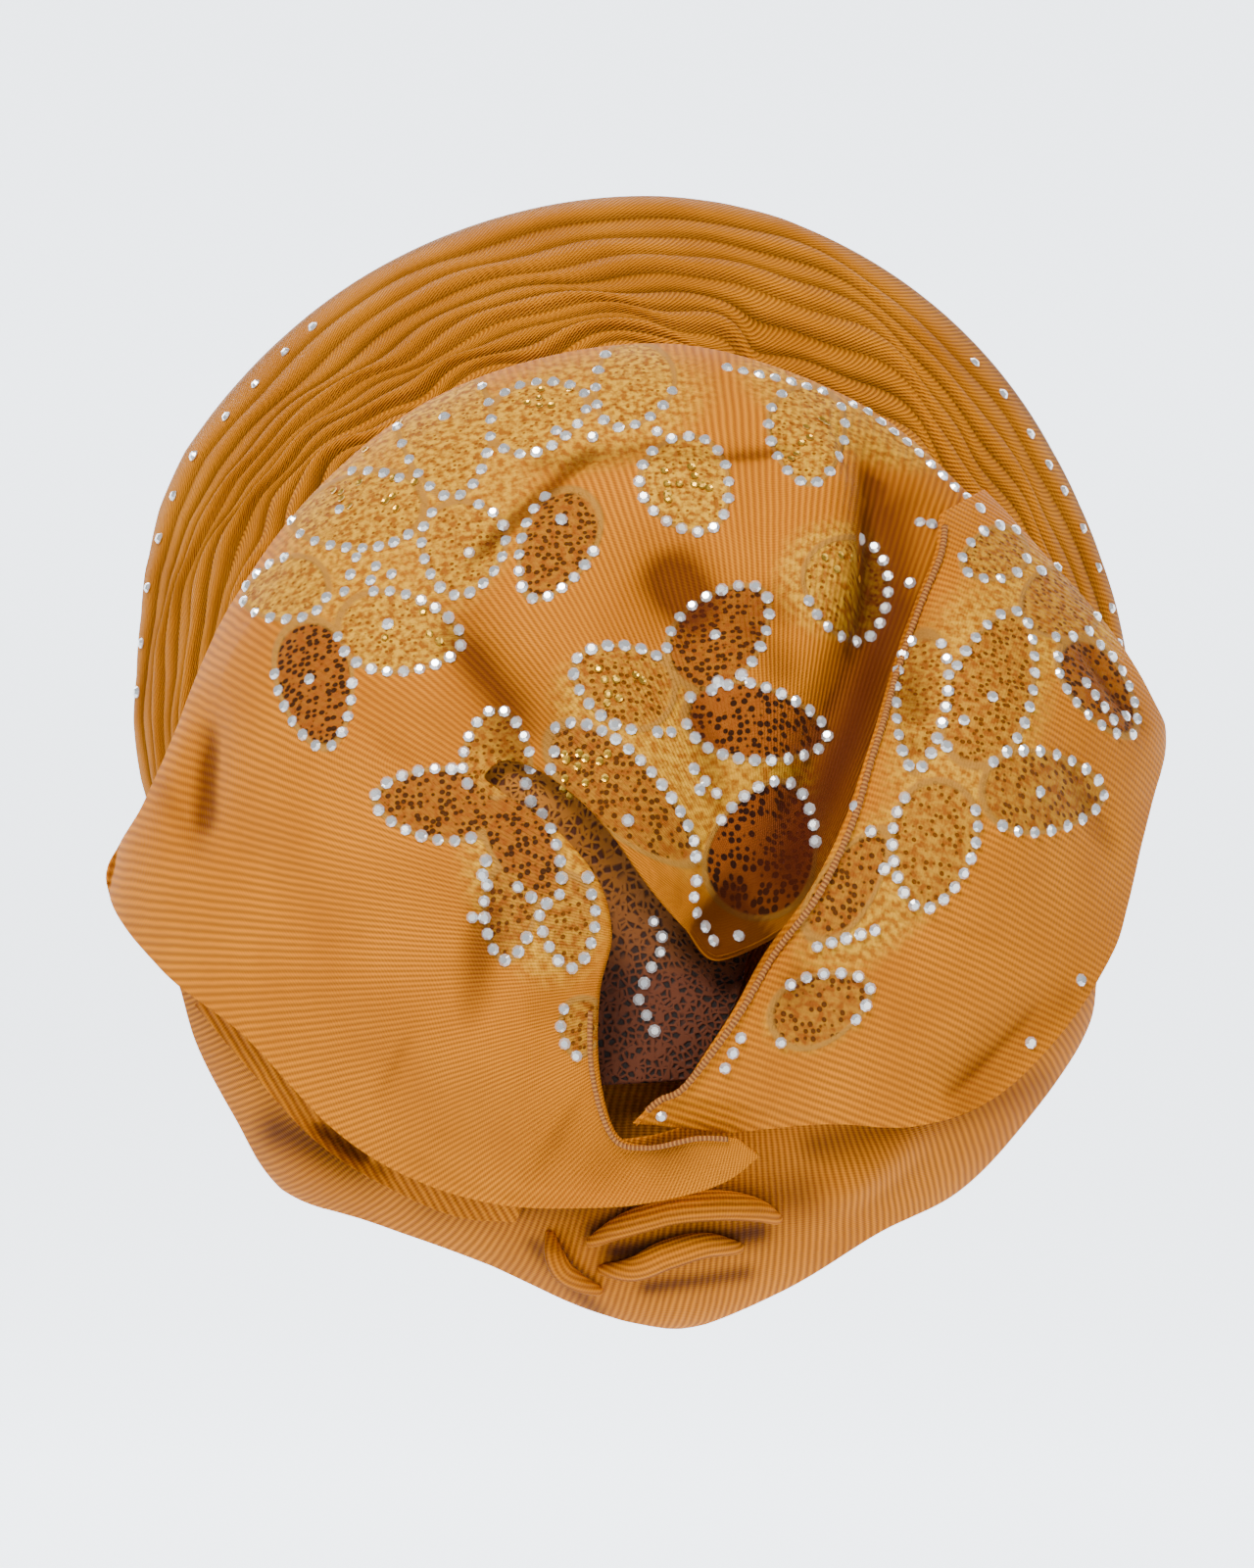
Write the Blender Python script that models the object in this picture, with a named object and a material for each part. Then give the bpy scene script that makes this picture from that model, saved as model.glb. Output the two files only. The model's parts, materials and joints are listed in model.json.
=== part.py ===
"""Tied gele head tie of gold ribbed cloth: a pleated halo round the face, and wraps over the back.

The script works in metres, +Z up. The wearer faces -Y, so the pocket and the knot face +Y.
The origin is where the crown of the head touches the inside of the first turn of cloth.
Tables give places in millimetres as seen from behind: across (to the right), up, and back (+Y).
"""
import math
from collections import namedtuple

import bmesh
import bpy
import numpy as np

MM = 0.001

# Head hollow: the inside of the first turn of cloth.
HEAD_HALF_WIDTH = 78.0
HEAD_HALF_LENGTH = 98.0
HEAD_HALF_HEIGHT = 97.0
HEAD_BACK_SHIFT = -2.0
FOREHEAD_EDGE_UP = -58.0
FOREHEAD_EDGE_BACK = -95.0
EDGE_SLOPE = -0.45
CROWN_SIDES = 28
CROWN_RINGS = 7

# Cloth: the wall of the pleats, with the stuff folded in them, and the doubled cloth of the wraps.
BACK_PLEAT_THICK = 1.9
FRONT_PLEAT_THICK = 1.7
WRAP_THICK = 2.0
CROWN_THICK = 2.0

# Halo: a round fan of pleats, its centre above the crown.
HALO_CENTRE_UP = 30.0
HALO_RIM_BACK = -70.0
BACK_PLEATS = 11
BACK_PLEAT_HEIGHT = 3.4
BACK_START_ANGLE = -30.0
BACK_END_ANGLE = 205.0
BACK_CURVE = 0.9
BACK_COLUMNS = 40
FRONT_PLEATS = 9
FRONT_PLEAT_HEIGHT = 4.0
FRONT_TOP_ANGLE = 86.0
FRONT_RIM_SWEEP = 112.0
FRONT_FACE_SWEEP = 92.0
FRONT_RIM_BACK = -76.5
FRONT_RIM_INSET = 1.0
FRONT_SEAT = 2.1
FRONT_SEAT_SHARE = 0.97
FRONT_BOW = 10.0
FRONT_CURVE = 0.85
FRONT_COLUMNS = 35

# Back dome: the round form that the wraps lie on.
DOME_PEAK_BACK = 124.0
DOME_TILT = 0.07
DOME_ROUNDNESS = 2.1
DOME_FULLNESS = 0.62

# Wraps: how their rows crowd to the outer edge, and the share near it where the folds die away.
ROW_CROWDING = 1.35
CALM_EDGE_SHARE = 0.12

# Knot rolls: their height for their width.
ROLL_FLATNESS = 0.85

# Bends sharper than this, in degrees, are shown as creases.
CREASE_ANGLE = 50.0

# Degrees over which values from the round tables are smoothed.
ROUND_SOFTENING = 5.0
ARC_SOFTENING = 7.0

GOLD = (0.68, 0.29, 0.025)
GOLD_DEEP = (0.40, 0.135, 0.012)
LACE_BROWN = (0.25, 0.075, 0.018)

Rim = namedtuple("Rim", "angle radius back")
Ring = namedtuple("Ring", "angle rim width inner_back")
Kink = namedtuple("Kink", "angle spread inward start")
Station = namedtuple("Station", "out_a out_u in_a in_u lift puff lip tuck_a tuck_u drop")
Fold = namedtuple("Fold", "a0 u0 a1 u1 width height")
Roll = namedtuple("Roll", "across up rise radius")

# Outline of the back dome by angle from the right: its radius, and how far back that edge lies.
DOME_RIM = [
    Rim(0, 166, 30), Rim(8, 172, 30), Rim(17, 163, 33), Rim(30, 150, 38), Rim(45, 145, 42),
    Rim(65, 145, 42), Rim(85, 146, 42), Rim(105, 144, 42), Rim(130, 142, 42), Rim(152, 143, 36),
    Rim(170, 149, 32), Rim(182, 162, 30), Rim(190, 174, 32), Rim(201, 168, 42), Rim(214, 170, 45),
    Rim(228, 177, 42), Rim(240, 166, 54), Rim(253, 161, 66), Rim(273, 174, 72), Rim(290, 168, 66),
    Rim(309, 169, 52), Rim(330, 171, 40), Rim(345, 165, 36),
]

# Back of the halo by angle: rim radius from the halo's centre, width of the ring of pleats.
HALO_RING = [
    Ring(-40, 160, 26, -26), Ring(-20, 170, 38, -8), Ring(0, 171, 56, 14), Ring(25, 168, 68, 26),
    Ring(50, 173, 78, 30), Ring(80, 178, 84, 33), Ring(110, 176, 82, 33), Ring(140, 177, 76, 31),
    Ring(157, 180, 67, 26), Ring(169, 171, 54, 18), Ring(188, 173, 42, 3), Ring(215, 158, 26, -26),
]

# Where a run of pleats turns sharply in or out on its way round.
HALO_KINKS = [
    Kink(72.0, 4.0, 13.0, 0.3), Kink(62.0, 4.5, -5.0, 0.4), Kink(104.0, 5.0, 6.0, 0.45),
    Kink(124.0, 4.5, 7.0, 0.35), Kink(140.0, 4.5, -6.0, 0.25), Kink(155.0, 4.5, 6.0, 0.3),
    Kink(36.0, 4.5, 4.0, 0.1),
]

# Main wrap, from the tail round the left and over the top.
MAIN_STATIONS = [
    Station(36.0, -106.0, 30.0, -101.0, 8.0, 0.0, 0.0, -0.5, 0.5, 4.0),
    Station(26.0, -113.5, 18.0, -100.5, 8.0, 0.0, 0.0, -0.5, 1.0, 5.0),
    Station(10.0, -118.5, 4.0, -104.0, 5.0, 3.0, 0.0, 0.0, 1.0, 6.0),
    Station(-11.0, -121.0, -6.0, -101.0, 1.0, 7.0, 3.0, 0.0, 1.0, 6.0),
    Station(-38.0, -120.5, -12.0, -82.0, 0.0, 8.0, 5.0, 0.0, 1.0, 6.0),
    Station(-65.0, -113.0, -12.5, -60.0, 0.0, 8.0, 6.0, 1.0, 1.0, 6.0),
    Station(-89.0, -98.5, -9.5, -43.0, 0.0, 8.0, 6.0, 1.0, 1.0, 6.0),
    Station(-117.0, -71.0, -13.5, -26.0, 0.0, 7.0, 5.0, 1.0, 1.0, 6.0),
    Station(-146.0, -53.0, -25.0, -11.0, 0.0, 3.0, 4.0, 1.0, 1.0, 12.0),
    Station(-170.0, -27.0, -34.0, -3.0, 0.0, 0.0, 1.0, 9.0, 5.0, 50.0),
    Station(-157.0, -2.0, -42.0, 3.0, 0.0, 0.0, 0.0, 6.0, 0.0, 62.0),
    Station(-148.0, 18.0, -46.0, 7.0, 0.0, 0.0, 0.0, 3.0, 0.0, 50.0),
    Station(-139.0, 42.0, -40.0, 12.0, 0.0, 0.0, 0.0, 2.0, -2.0, 36.0),
    Station(-127.0, 66.0, -30.0, 9.0, 0.0, 0.0, 1.0, 4.0, -4.0, 26.0),
    Station(-103.0, 97.0, -18.0, 1.0, 0.0, 0.0, 3.0, 5.0, -6.0, 15.0),
    Station(-68.0, 126.0, -7.0, -10.0, 0.0, 0.0, 4.0, 3.0, -7.0, 10.0),
    Station(-27.0, 141.0, 4.0, -25.0, 0.0, 0.0, 3.0, 1.0, -8.0, 10.8),
    Station(13.0, 145.0, 15.0, -38.0, 0.0, 0.0, 1.0, -1.0, -8.0, 10.8),
    Station(48.0, 136.5, 27.0, -49.0, 0.0, 0.0, 0.0, -2.0, -7.5, 10.0),
    Station(79.0, 122.0, 52.0, -34.0, 0.0, 0.0, 0.0, -4.0, -7.0, 10.0),
    Station(105.0, 98.0, 78.0, 18.0, 0.0, 0.0, 0.0, -6.0, -6.0, 13.0),
    Station(119.0, 82.0, 102.0, 58.0, 0.0, 0.0, 0.0, -7.0, -6.0, 16.0),
]

# Right wrap, from the shoulder fold down to the tip that is tucked into the pocket.
RIGHT_STATIONS = [
    Station(110.0, 97.0, 95.0, 88.0, 2.9, 0.0, 2.0, -4.0, -5.0, 18.0),
    Station(127.0, 78.0, 94.0, 76.0, 2.9, 0.0, 2.0, -5.0, -5.0, 34.0),
    Station(149.0, 53.0, 90.0, 64.0, 2.9, 0.0, 2.0, -5.0, -4.0, 56.0),
    Station(163.0, 31.0, 84.0, 46.0, 2.9, 0.0, 2.0, -5.0, -2.0, 62.0),
    Station(168.0, 19.0, 77.0, 28.0, 2.9, 0.0, 2.0, -6.0, -2.0, 60.0),
    Station(163.0, 2.0, 70.0, 10.0, 2.9, 0.0, 2.0, -4.0, -1.0, 56.0),
    Station(158.0, -15.0, 64.0, -8.0, 2.9, 0.0, 3.0, -2.5, 0.0, 48.0),
    Station(152.0, -34.0, 55.0, -27.0, 2.9, 1.0, 4.0, -1.5, 0.0, 30.0),
    Station(145.0, -48.0, 45.0, -43.0, 2.9, 3.0, 4.0, -1.0, 1.0, 8.0),
    Station(128.0, -70.0, 35.0, -58.0, 2.9, 5.0, 3.0, -1.0, 1.0, 7.0),
    Station(106.0, -90.0, 24.0, -74.0, 2.9, 5.0, 2.0, -1.0, 1.0, 6.0),
    Station(82.0, -98.0, 14.0, -87.0, 3.0, 4.0, 0.0, 0.0, 1.0, 6.0),
    Station(57.0, -98.0, 7.0, -91.0, 1.5, 2.0, 0.0, 0.0, 0.0, 5.0),
    Station(28.0, -101.5, 0.0, -98.0, 0.0, 0.0, 0.0, 0.0, 0.0, 4.0),
]

# Under wrap: the turned layer below the main wrap's lower edge.
UNDER_STATIONS = [
    Station(-139.0, -65.0, -128.0, -52.0, -3.2, 1.5, 0.0, 0.0, 0.0, 3.0),
    Station(-122.0, -83.0, -112.0, -68.0, -3.2, 2.0, 0.0, 0.0, 0.0, 3.0),
    Station(-99.0, -106.0, -92.0, -86.0, -3.2, 3.0, 0.0, 0.0, 0.0, 3.0),
    Station(-77.0, -120.0, -70.0, -101.0, -3.2, 3.0, 0.0, 0.0, 0.0, 3.0),
    Station(-55.0, -129.0, -48.0, -110.0, -3.2, 3.0, 0.0, 0.0, 0.0, 3.0),
    Station(-37.0, -131.0, -32.0, -112.0, -3.2, 1.5, 0.0, 0.0, 0.0, 3.0),
]

# Nape wrap: the lowest turn, from ear to ear round the nape.
NAPE_STATIONS = [
    Station(-156.0, -4.0, -140.0, -4.0, -6.4, 0.0, 0.0, 7.0, -6.0, 52.0),
    Station(-162.0, -30.0, -145.0, -24.0, -6.4, 0.0, 0.0, 28.0, -15.0, 80.0),
    Station(-150.0, -58.0, -133.0, -46.0, -6.4, 0.0, 0.0, 39.0, -16.0, 90.0),
    Station(-144.0, -80.0, -121.0, -56.0, -6.4, 0.0, 0.0, 43.0, -12.0, 62.0),
    Station(-132.0, -103.0, -102.0, -72.0, -6.4, 0.0, 0.0, 47.2, 0.0, 51.0),
    Station(-116.0, -129.0, -84.0, -86.0, -6.4, 0.0, 0.0, 32.0, 8.0, 28.0),
    Station(-86.0, -138.0, -62.0, -98.0, -6.4, 0.0, 0.0, 16.0, 3.0, 22.0),
    Station(-50.0, -150.0, -40.0, -104.0, -6.4, 0.0, 0.0, 4.0, 2.0, 14.0),
    Station(-15.0, -165.5, -16.0, -106.0, -6.4, 0.0, 0.0, 0.0, 3.0, 10.0),
    Station(17.0, -171.5, 8.0, -104.0, -6.4, 0.0, 0.0, 0.0, 5.0, 12.0),
    Station(49.0, -159.0, 30.0, -96.0, -6.4, 0.0, 0.0, -4.0, 4.0, 14.0),
    Station(79.5, -140.0, 52.0, -90.0, -6.4, 0.0, 0.0, -12.0, 3.0, 20.0),
    Station(107.0, -128.0, 74.0, -86.0, -6.4, 0.0, 0.0, -22.0, 2.0, 35.0),
    Station(129.0, -105.0, 96.0, -78.0, -6.4, 0.0, 0.0, -44.7, 1.0, 45.0),
    Station(150.0, -76.0, 118.0, -62.0, -6.4, 0.0, 0.0, -52.0, -12.0, 56.0),
    Station(153.0, -57.0, 131.0, -50.0, -6.4, 0.0, 0.0, -42.0, -16.0, 62.0),
    Station(158.0, -30.0, 143.0, -26.0, -6.4, 0.0, 0.0, -27.0, -15.0, 62.0),
    Station(158.0, -8.0, 143.0, -6.0, -6.4, 0.0, 0.0, -13.0, -6.0, 46.0),
]

# Pocket lining: the lace cloth deep inside the pocket between the cowl and the right wrap.
POCKET_STATIONS = [
    Station(-56.0, 24.0, -8.0, 20.0, -2.8, 0.0, 0.0, 0.0, 0.0, 2.0),
    Station(-46.0, -10.0, 20.0, -14.0, -10.0, 0.0, 0.0, 0.0, 0.0, 2.0),
    Station(-38.0, -40.0, 38.0, -36.0, -15.0, 0.0, 0.0, 0.0, 0.0, 2.0),
    Station(-34.0, -66.0, 34.0, -62.0, -15.0, 0.0, 0.0, 0.0, 0.0, 2.0),
    Station(-28.0, -90.0, 18.0, -88.0, -12.0, 0.0, 0.0, 0.0, 0.0, 2.0),
]

# Main folds and dents: a line from one place to another, its half width and its height.
FOLDS = [
    Fold(-2.0, 72.0, 60.0, 52.0, 15.0, -7.0),
    Fold(78.0, 96.0, 84.0, 20.0, 12.0, -9.0),
    Fold(62.0, 118.0, 66.0, 60.0, 12.0, 5.0),
    Fold(-60.0, 56.0, -28.0, 14.0, 12.0, -6.0),
    Fold(-20.0, 62.0, 8.0, -18.0, 15.0, 6.0),
    Fold(-134.0, 26.0, -138.0, -12.0, 8.0, -5.0),
    Fold(-110.0, 60.0, -80.0, -40.0, 30.0, 7.0),
    Fold(-66.0, -70.0, -20.0, -96.0, 22.0, 6.0),
    Fold(118.0, 40.0, 96.0, -40.0, 26.0, 6.0),
    Fold(92.0, -92.0, 132.0, -62.0, 10.0, -4.0),
    Fold(20.0, -30.0, 44.0, -50.0, 14.0, -12.0),
    Fold(-22.0, -148.0, -12.0, -130.0, 7.0, 3.0),
    Fold(60.0, -128.0, 90.0, -104.0, 8.0, 4.0),
    Fold(-104.0, -106.0, -84.0, -116.0, 8.0, -5.0),
]

# Rolled gathers of the knot at the nape: the middle line of each roll, its rise off the nape
# wrap and its radius.
KNOT_ROLLS = {
    "knot_roll_upper": [
        Roll(-14.5, -137.0, 1.5, 3.0), Roll(-3.0, -131.0, 1.0, 4.2), Roll(12.0, -125.5, 0.8, 4.6),
        Roll(26.0, -124.5, 0.8, 4.6), Roll(38.0, -127.0, 0.8, 4.0), Roll(46.0, -132.0, 1.0, 2.8),
    ],
    "knot_roll_lower": [
        Roll(-12.0, -148.0, 0.7, 2.8), Roll(-1.0, -146.0, 0.3, 4.0), Roll(10.0, -140.5, 0.3, 4.4),
        Roll(22.0, -138.0, 0.3, 4.2), Roll(34.0, -141.0, 0.5, 3.2),
    ],
    "knot_roll_side": [
        Roll(-28.0, -136.5, 0.6, 2.4), Roll(-25.0, -142.0, 0.6, 3.2), Roll(-20.0, -149.0, 0.8, 3.2),
        Roll(-12.0, -156.0, 1.2, 2.6),
    ],
}


def spline(rows, count):
    """Points of a smooth curve through rows, evenly spread over the rows' numbers."""
    data = np.array(rows, dtype=float)
    padded = np.vstack([2 * data[0] - data[1], data, 2 * data[-1] - data[-2]])
    places = np.linspace(0, len(data) - 1, count)
    spans = np.minimum(places.astype(int), len(data) - 2)
    t = (places - spans)[:, None]
    p0, p1, p2, p3 = (padded[spans + k] for k in range(4))
    return 0.5 * (2 * p1 + (p2 - p0) * t + (2 * p0 - 5 * p1 + 4 * p2 - p3) * t ** 2
                  + (3 * p1 - p0 - 3 * p2 + p3) * t ** 3)


def read_round(rows, column, angle):
    """A value from a table that goes once round, at any angle in degrees."""
    angles = np.array([row.angle for row in rows], dtype=float)
    values = np.array([getattr(row, column) for row in rows], dtype=float)
    angles = np.concatenate([angles[-3:] - 360, angles, angles[:3] + 360])
    values = np.concatenate([values[-3:], values, values[:3]])
    soft = ROUND_SOFTENING
    samples = [np.interp(np.mod(angle, 360) + step, angles, values) for step in (-soft, 0, soft)]
    return (samples[0] + 2 * samples[1] + samples[2]) / 4


def read_arc(rows, column, angle):
    """A value from a table over part of a turn, smoothed a little."""
    angles = [row.angle for row in rows]
    values = [getattr(row, column) for row in rows]
    steps = (-ARC_SOFTENING, 0.0, ARC_SOFTENING)
    return sum(np.interp(angle + step, angles, values) for step in steps) / 3


def fold_height(across, up):
    """The sum of the main folds and dents at a place seen from behind."""
    total = np.zeros_like(across)
    for fold in FOLDS:
        run_a = fold.a1 - fold.a0
        run_u = fold.u1 - fold.u0
        along = ((across - fold.a0) * run_a + (up - fold.u0) * run_u) / (run_a ** 2 + run_u ** 2)
        along = np.clip(along, 0, 1)
        away = np.hypot(across - fold.a0 - along * run_a, up - fold.u0 - along * run_u)
        total += fold.height * np.exp(-(away / fold.width) ** 2)
    return total


def dome_back(across, up):
    """How far back the dome lies at a place seen from behind."""
    angle = np.degrees(np.arctan2(up, across))
    rim = read_round(DOME_RIM, "radius", angle)
    edge = read_round(DOME_RIM, "back", angle)
    part = np.clip(np.hypot(across, up) / rim, 0, 1)
    height = (1 - part ** DOME_ROUNDNESS) ** DOME_FULLNESS
    return edge + (DOME_PEAK_BACK - edge - DOME_TILT * up) * height


def lifted(across, up, lift, fold_share):
    """Places on the dome with its folds, moved out along the dome's own normal by lift."""
    step = 1.5
    back = dome_back(across, up)
    slope_a = (dome_back(across + step, up) - dome_back(across - step, up)) / (2 * step)
    slope_u = (dome_back(across, up + step) - dome_back(across, up - step)) / (2 * step)
    size = np.sqrt(1 + slope_a ** 2 + slope_u ** 2)
    full = lift + fold_share * fold_height(across, up)
    return across - slope_a / size * full, up - slope_u / size * full, back + full / size


def place(across, up, back):
    """Points in metres from places seen from behind in millimetres."""
    return np.stack([-across, back, up], axis=-1) * MM


def grid_normals(points):
    """Unit normals of a grid of points, all on the side that faces away from the head."""
    along = np.gradient(points, axis=0)
    over = np.gradient(points, axis=1)
    normals = np.cross(along, over)
    normals /= np.maximum(np.linalg.norm(normals, axis=2, keepdims=True), 1e-12)
    middle = np.array([0.0, 0.0, -0.04])
    if np.sum(normals * (points - middle)) < 0:
        normals = -normals
    return normals


def wall_from_faces(name, outer, inner, colour, roughness=0.7):
    """A closed wall between an outer and an inner grid of points."""
    rows, columns = outer.shape[:2]
    shape = bmesh.new()
    top = [[shape.verts.new(outer[i, j]) for j in range(columns)] for i in range(rows)]
    low = [[shape.verts.new(inner[i, j]) for j in range(columns)] for i in range(rows)]
    for i in range(rows - 1):
        for j in range(columns - 1):
            shape.faces.new((top[i][j], top[i + 1][j], top[i + 1][j + 1], top[i][j + 1]))
            shape.faces.new((low[i][j], low[i][j + 1], low[i + 1][j + 1], low[i + 1][j]))
    rim = [(i, 0) for i in range(rows)]
    rim += [(rows - 1, j) for j in range(1, columns)]
    rim += [(i, columns - 1) for i in range(rows - 2, -1, -1)]
    rim += [(0, j) for j in range(columns - 2, 0, -1)]
    for (i, j), (k, m) in zip(rim, rim[1:] + rim[:1]):
        shape.faces.new((top[i][j], low[i][j], low[k][m], top[k][m]))
    return finish_shape(name, shape, colour, roughness)


def finish_shape(name, shape, colour, roughness):
    """An object from a closed shape with crisp pleat ridges, with its own cloth material."""
    bmesh.ops.recalc_face_normals(shape, faces=shape.faces)
    mesh = bpy.data.meshes.new(name)
    shape.to_mesh(mesh)
    shape.free()
    mesh.shade_smooth()
    mesh.set_sharp_from_angle(angle=math.radians(CREASE_ANGLE))
    material = bpy.data.materials.new(name + "_cloth")
    material.use_nodes = True
    shader = material.node_tree.nodes["Principled BSDF"]
    shader.inputs["Base Color"].default_value = (*colour, 1.0)
    shader.inputs["Roughness"].default_value = roughness
    shader.inputs["Metallic"].default_value = 0.0
    mesh.materials.append(material)
    piece = bpy.data.objects.new(name, mesh)
    bpy.context.collection.objects.link(piece)
    return piece


def wrap(name, stations, columns, rows, skirt_rows, colour, fold_share=1.0):
    """A turn of cloth over the dome, with a skirt that rolls on from its outer edge."""
    curve = spline([tuple(row) for row in stations], columns)
    out_a, out_u, in_a, in_u, lift, puff, lip, tuck_a, tuck_u, drop = curve.T
    outer, inner = [], []
    for t in np.linspace(0, 1, rows):
        step = 1 - (1 - t) ** ROW_CROWDING
        height = lift + puff * step ** 3 + lip * (1 - step) ** 4
        across = in_a + (out_a - in_a) * step
        up = in_u + (out_u - in_u) * step
        calm = fold_share * np.clip((1 - step) / CALM_EDGE_SHARE, 0, 1)
        outer.append(place(*lifted(across, up, height, calm)))
        inner.append(place(*lifted(across, up, height - WRAP_THICK, calm)))
    edge = outer[-1]
    edge_normal = (outer[-1] - inner[-1]) / (WRAP_THICK * MM)
    reach = np.hypot(out_a, out_u)
    nothing = np.zeros_like(reach)
    outward = place(out_a / reach, out_u / reach, nothing) / MM
    forward = place(nothing, nothing, nothing - 1) / MM
    for t in np.linspace(0, 1, skirt_rows + 1)[1:]:
        turn = t * math.pi / 2
        tuck = 1 - math.cos(turn)
        point = edge + place(tuck_a * tuck, tuck_u * tuck, -drop * math.sin(turn))
        normal = (edge_normal * (1 - t) + outward * math.cos(turn)) * drop[:, None]
        normal = normal + forward * (np.hypot(tuck_a, tuck_u) * math.sin(turn))[:, None]
        normal /= np.linalg.norm(normal, axis=1, keepdims=True)
        outer.append(point)
        inner.append(point - normal * WRAP_THICK * MM)
    return wall_from_faces(name, np.array(outer), np.array(inner), colour)


def halo_back():
    """The back of the halo: a ring of pleats that steps from the rim in to the wraps."""
    angles = np.linspace(BACK_START_ANGLE, BACK_END_ANGLE, BACK_COLUMNS)
    steps = 2 * BACK_PLEATS + 1
    across = np.zeros((len(angles), steps))
    up = np.zeros_like(across)
    back = np.zeros_like(across)
    for j in range(steps):
        part = j / (steps - 1)
        radius = read_arc(HALO_RING, "rim", angles) - read_arc(HALO_RING, "width", angles) * part
        for kink in HALO_KINKS:
            share = max(0.0, (part - kink.start) / (1 - kink.start))
            radius -= kink.inward * share * np.exp(-((angles - kink.angle) / kink.spread) ** 2)
        inner_back = read_arc(HALO_RING, "inner_back", angles)
        turn = np.radians(angles)
        across[:, j] = radius * np.cos(turn)
        up[:, j] = HALO_CENTRE_UP + radius * np.sin(turn)
        back[:, j] = HALO_RIM_BACK + (inner_back - HALO_RIM_BACK) * part ** BACK_CURVE
    smooth = place(across, up, back)
    normals = grid_normals(smooth)
    ridge = (np.arange(steps) % 2)[None, :, None] * BACK_PLEAT_HEIGHT * MM
    outer = smooth + normals * ridge
    inner = outer - normals * BACK_PLEAT_THICK * MM
    return wall_from_faces("halo_pleats_back", outer, inner, GOLD)


def forehead_edge(turns):
    """The face opening's edge, just outside the first turn, from one ear to the other."""
    rows = []
    for turn in turns:
        around = math.radians(270.0 - turn * FRONT_FACE_SWEEP)
        point = crown_point(around, edge_drop(around) * FRONT_SEAT_SHARE, CROWN_THICK)
        facing = math.radians(turn * FRONT_FACE_SWEEP)
        rows.append((-point[0] + FRONT_SEAT * math.sin(facing), point[2],
                     point[1] - FRONT_SEAT * math.cos(facing)))
    return np.array(rows).T


def halo_front():
    """The front of the halo: pleats that fan out from the forehead to the rim."""
    turns = np.linspace(-1, 1, FRONT_COLUMNS)
    angles = FRONT_TOP_ANGLE - turns * FRONT_RIM_SWEEP
    rim = read_arc(HALO_RING, "rim", angles) - FRONT_RIM_INSET
    rim_across = rim * np.cos(np.radians(angles))
    rim_up = HALO_CENTRE_UP + rim * np.sin(np.radians(angles))
    edge_across, edge_up, edge_back = forehead_edge(turns)
    steps = 2 * FRONT_PLEATS + 1
    across = np.zeros((len(turns), steps))
    up = np.zeros_like(across)
    back = np.zeros_like(across)
    for j in range(steps):
        part = j / (steps - 1)
        bow = FRONT_BOW * math.sin(part * math.pi)
        across[:, j] = edge_across + (rim_across - edge_across) * part
        up[:, j] = edge_up + (rim_up - edge_up) * part
        back[:, j] = edge_back + (FRONT_RIM_BACK - edge_back) * part ** FRONT_CURVE - bow
    smooth = place(across, up, back)
    normals = grid_normals(smooth)
    if normals[len(turns) // 2, steps // 2, 1] > 0:
        normals = -normals
    ridge = (np.arange(steps) % 2)[None, :, None] * FRONT_PLEAT_HEIGHT * MM
    outer = smooth + normals * ridge
    inner = outer - normals * FRONT_PLEAT_THICK * MM
    return wall_from_faces("halo_pleats_front", outer, inner, GOLD)


def crown_wrap():
    """The first turn of cloth, which lies on the head and carries the rest."""
    sides, rings = CROWN_SIDES, CROWN_RINGS
    shape = bmesh.new()
    layers = []
    for thick in (CROWN_THICK, 0.0):
        pole = shape.verts.new(crown_point(0.0, 0.0, thick) * MM)
        circles = []
        for ring in range(1, rings + 1):
            circle = []
            for side in range(sides):
                turn = 2 * math.pi * side / sides
                drop = edge_drop(turn) * ring / rings
                circle.append(shape.verts.new(crown_point(turn, drop, thick) * MM))
            circles.append(circle)
        layers.append((pole, circles))
    for pole, circles in layers:
        for side in range(sides):
            after = (side + 1) % sides
            shape.faces.new((pole, circles[0][side], circles[0][after]))
            for inner, outer in zip(circles, circles[1:]):
                shape.faces.new((inner[side], outer[side], outer[after], inner[after]))
    outside, inside = layers[0][1][-1], layers[1][1][-1]
    for side in range(sides):
        after = (side + 1) % sides
        shape.faces.new((outside[side], inside[side], inside[after], outside[after]))
    return finish_shape("crown_wrap", shape, GOLD_DEEP, 0.75)


def crown_point(turn, drop, thick):
    """A point of the first turn: turn goes round from the wearer's left, drop down from the crown."""
    ring = math.sin(drop)
    return np.array([(HEAD_HALF_WIDTH + thick) * ring * math.cos(turn),
                     HEAD_BACK_SHIFT + (HEAD_HALF_LENGTH + thick) * ring * math.sin(turn),
                     (HEAD_HALF_HEIGHT + thick) * math.cos(drop) - HEAD_HALF_HEIGHT])


def edge_drop(turn):
    """The angle down from the crown at which the first turn's slanting lower edge lies."""
    low, high = 0.2, 2.9
    for _ in range(40):
        middle = (low + high) / 2
        back = HEAD_BACK_SHIFT + HEAD_HALF_LENGTH * math.sin(middle) * math.sin(turn)
        up = HEAD_HALF_HEIGHT * (math.cos(middle) - 1)
        if up > FOREHEAD_EDGE_UP + EDGE_SLOPE * (back - FOREHEAD_EDGE_BACK):
            low = middle
        else:
            high = middle
    return low


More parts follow.
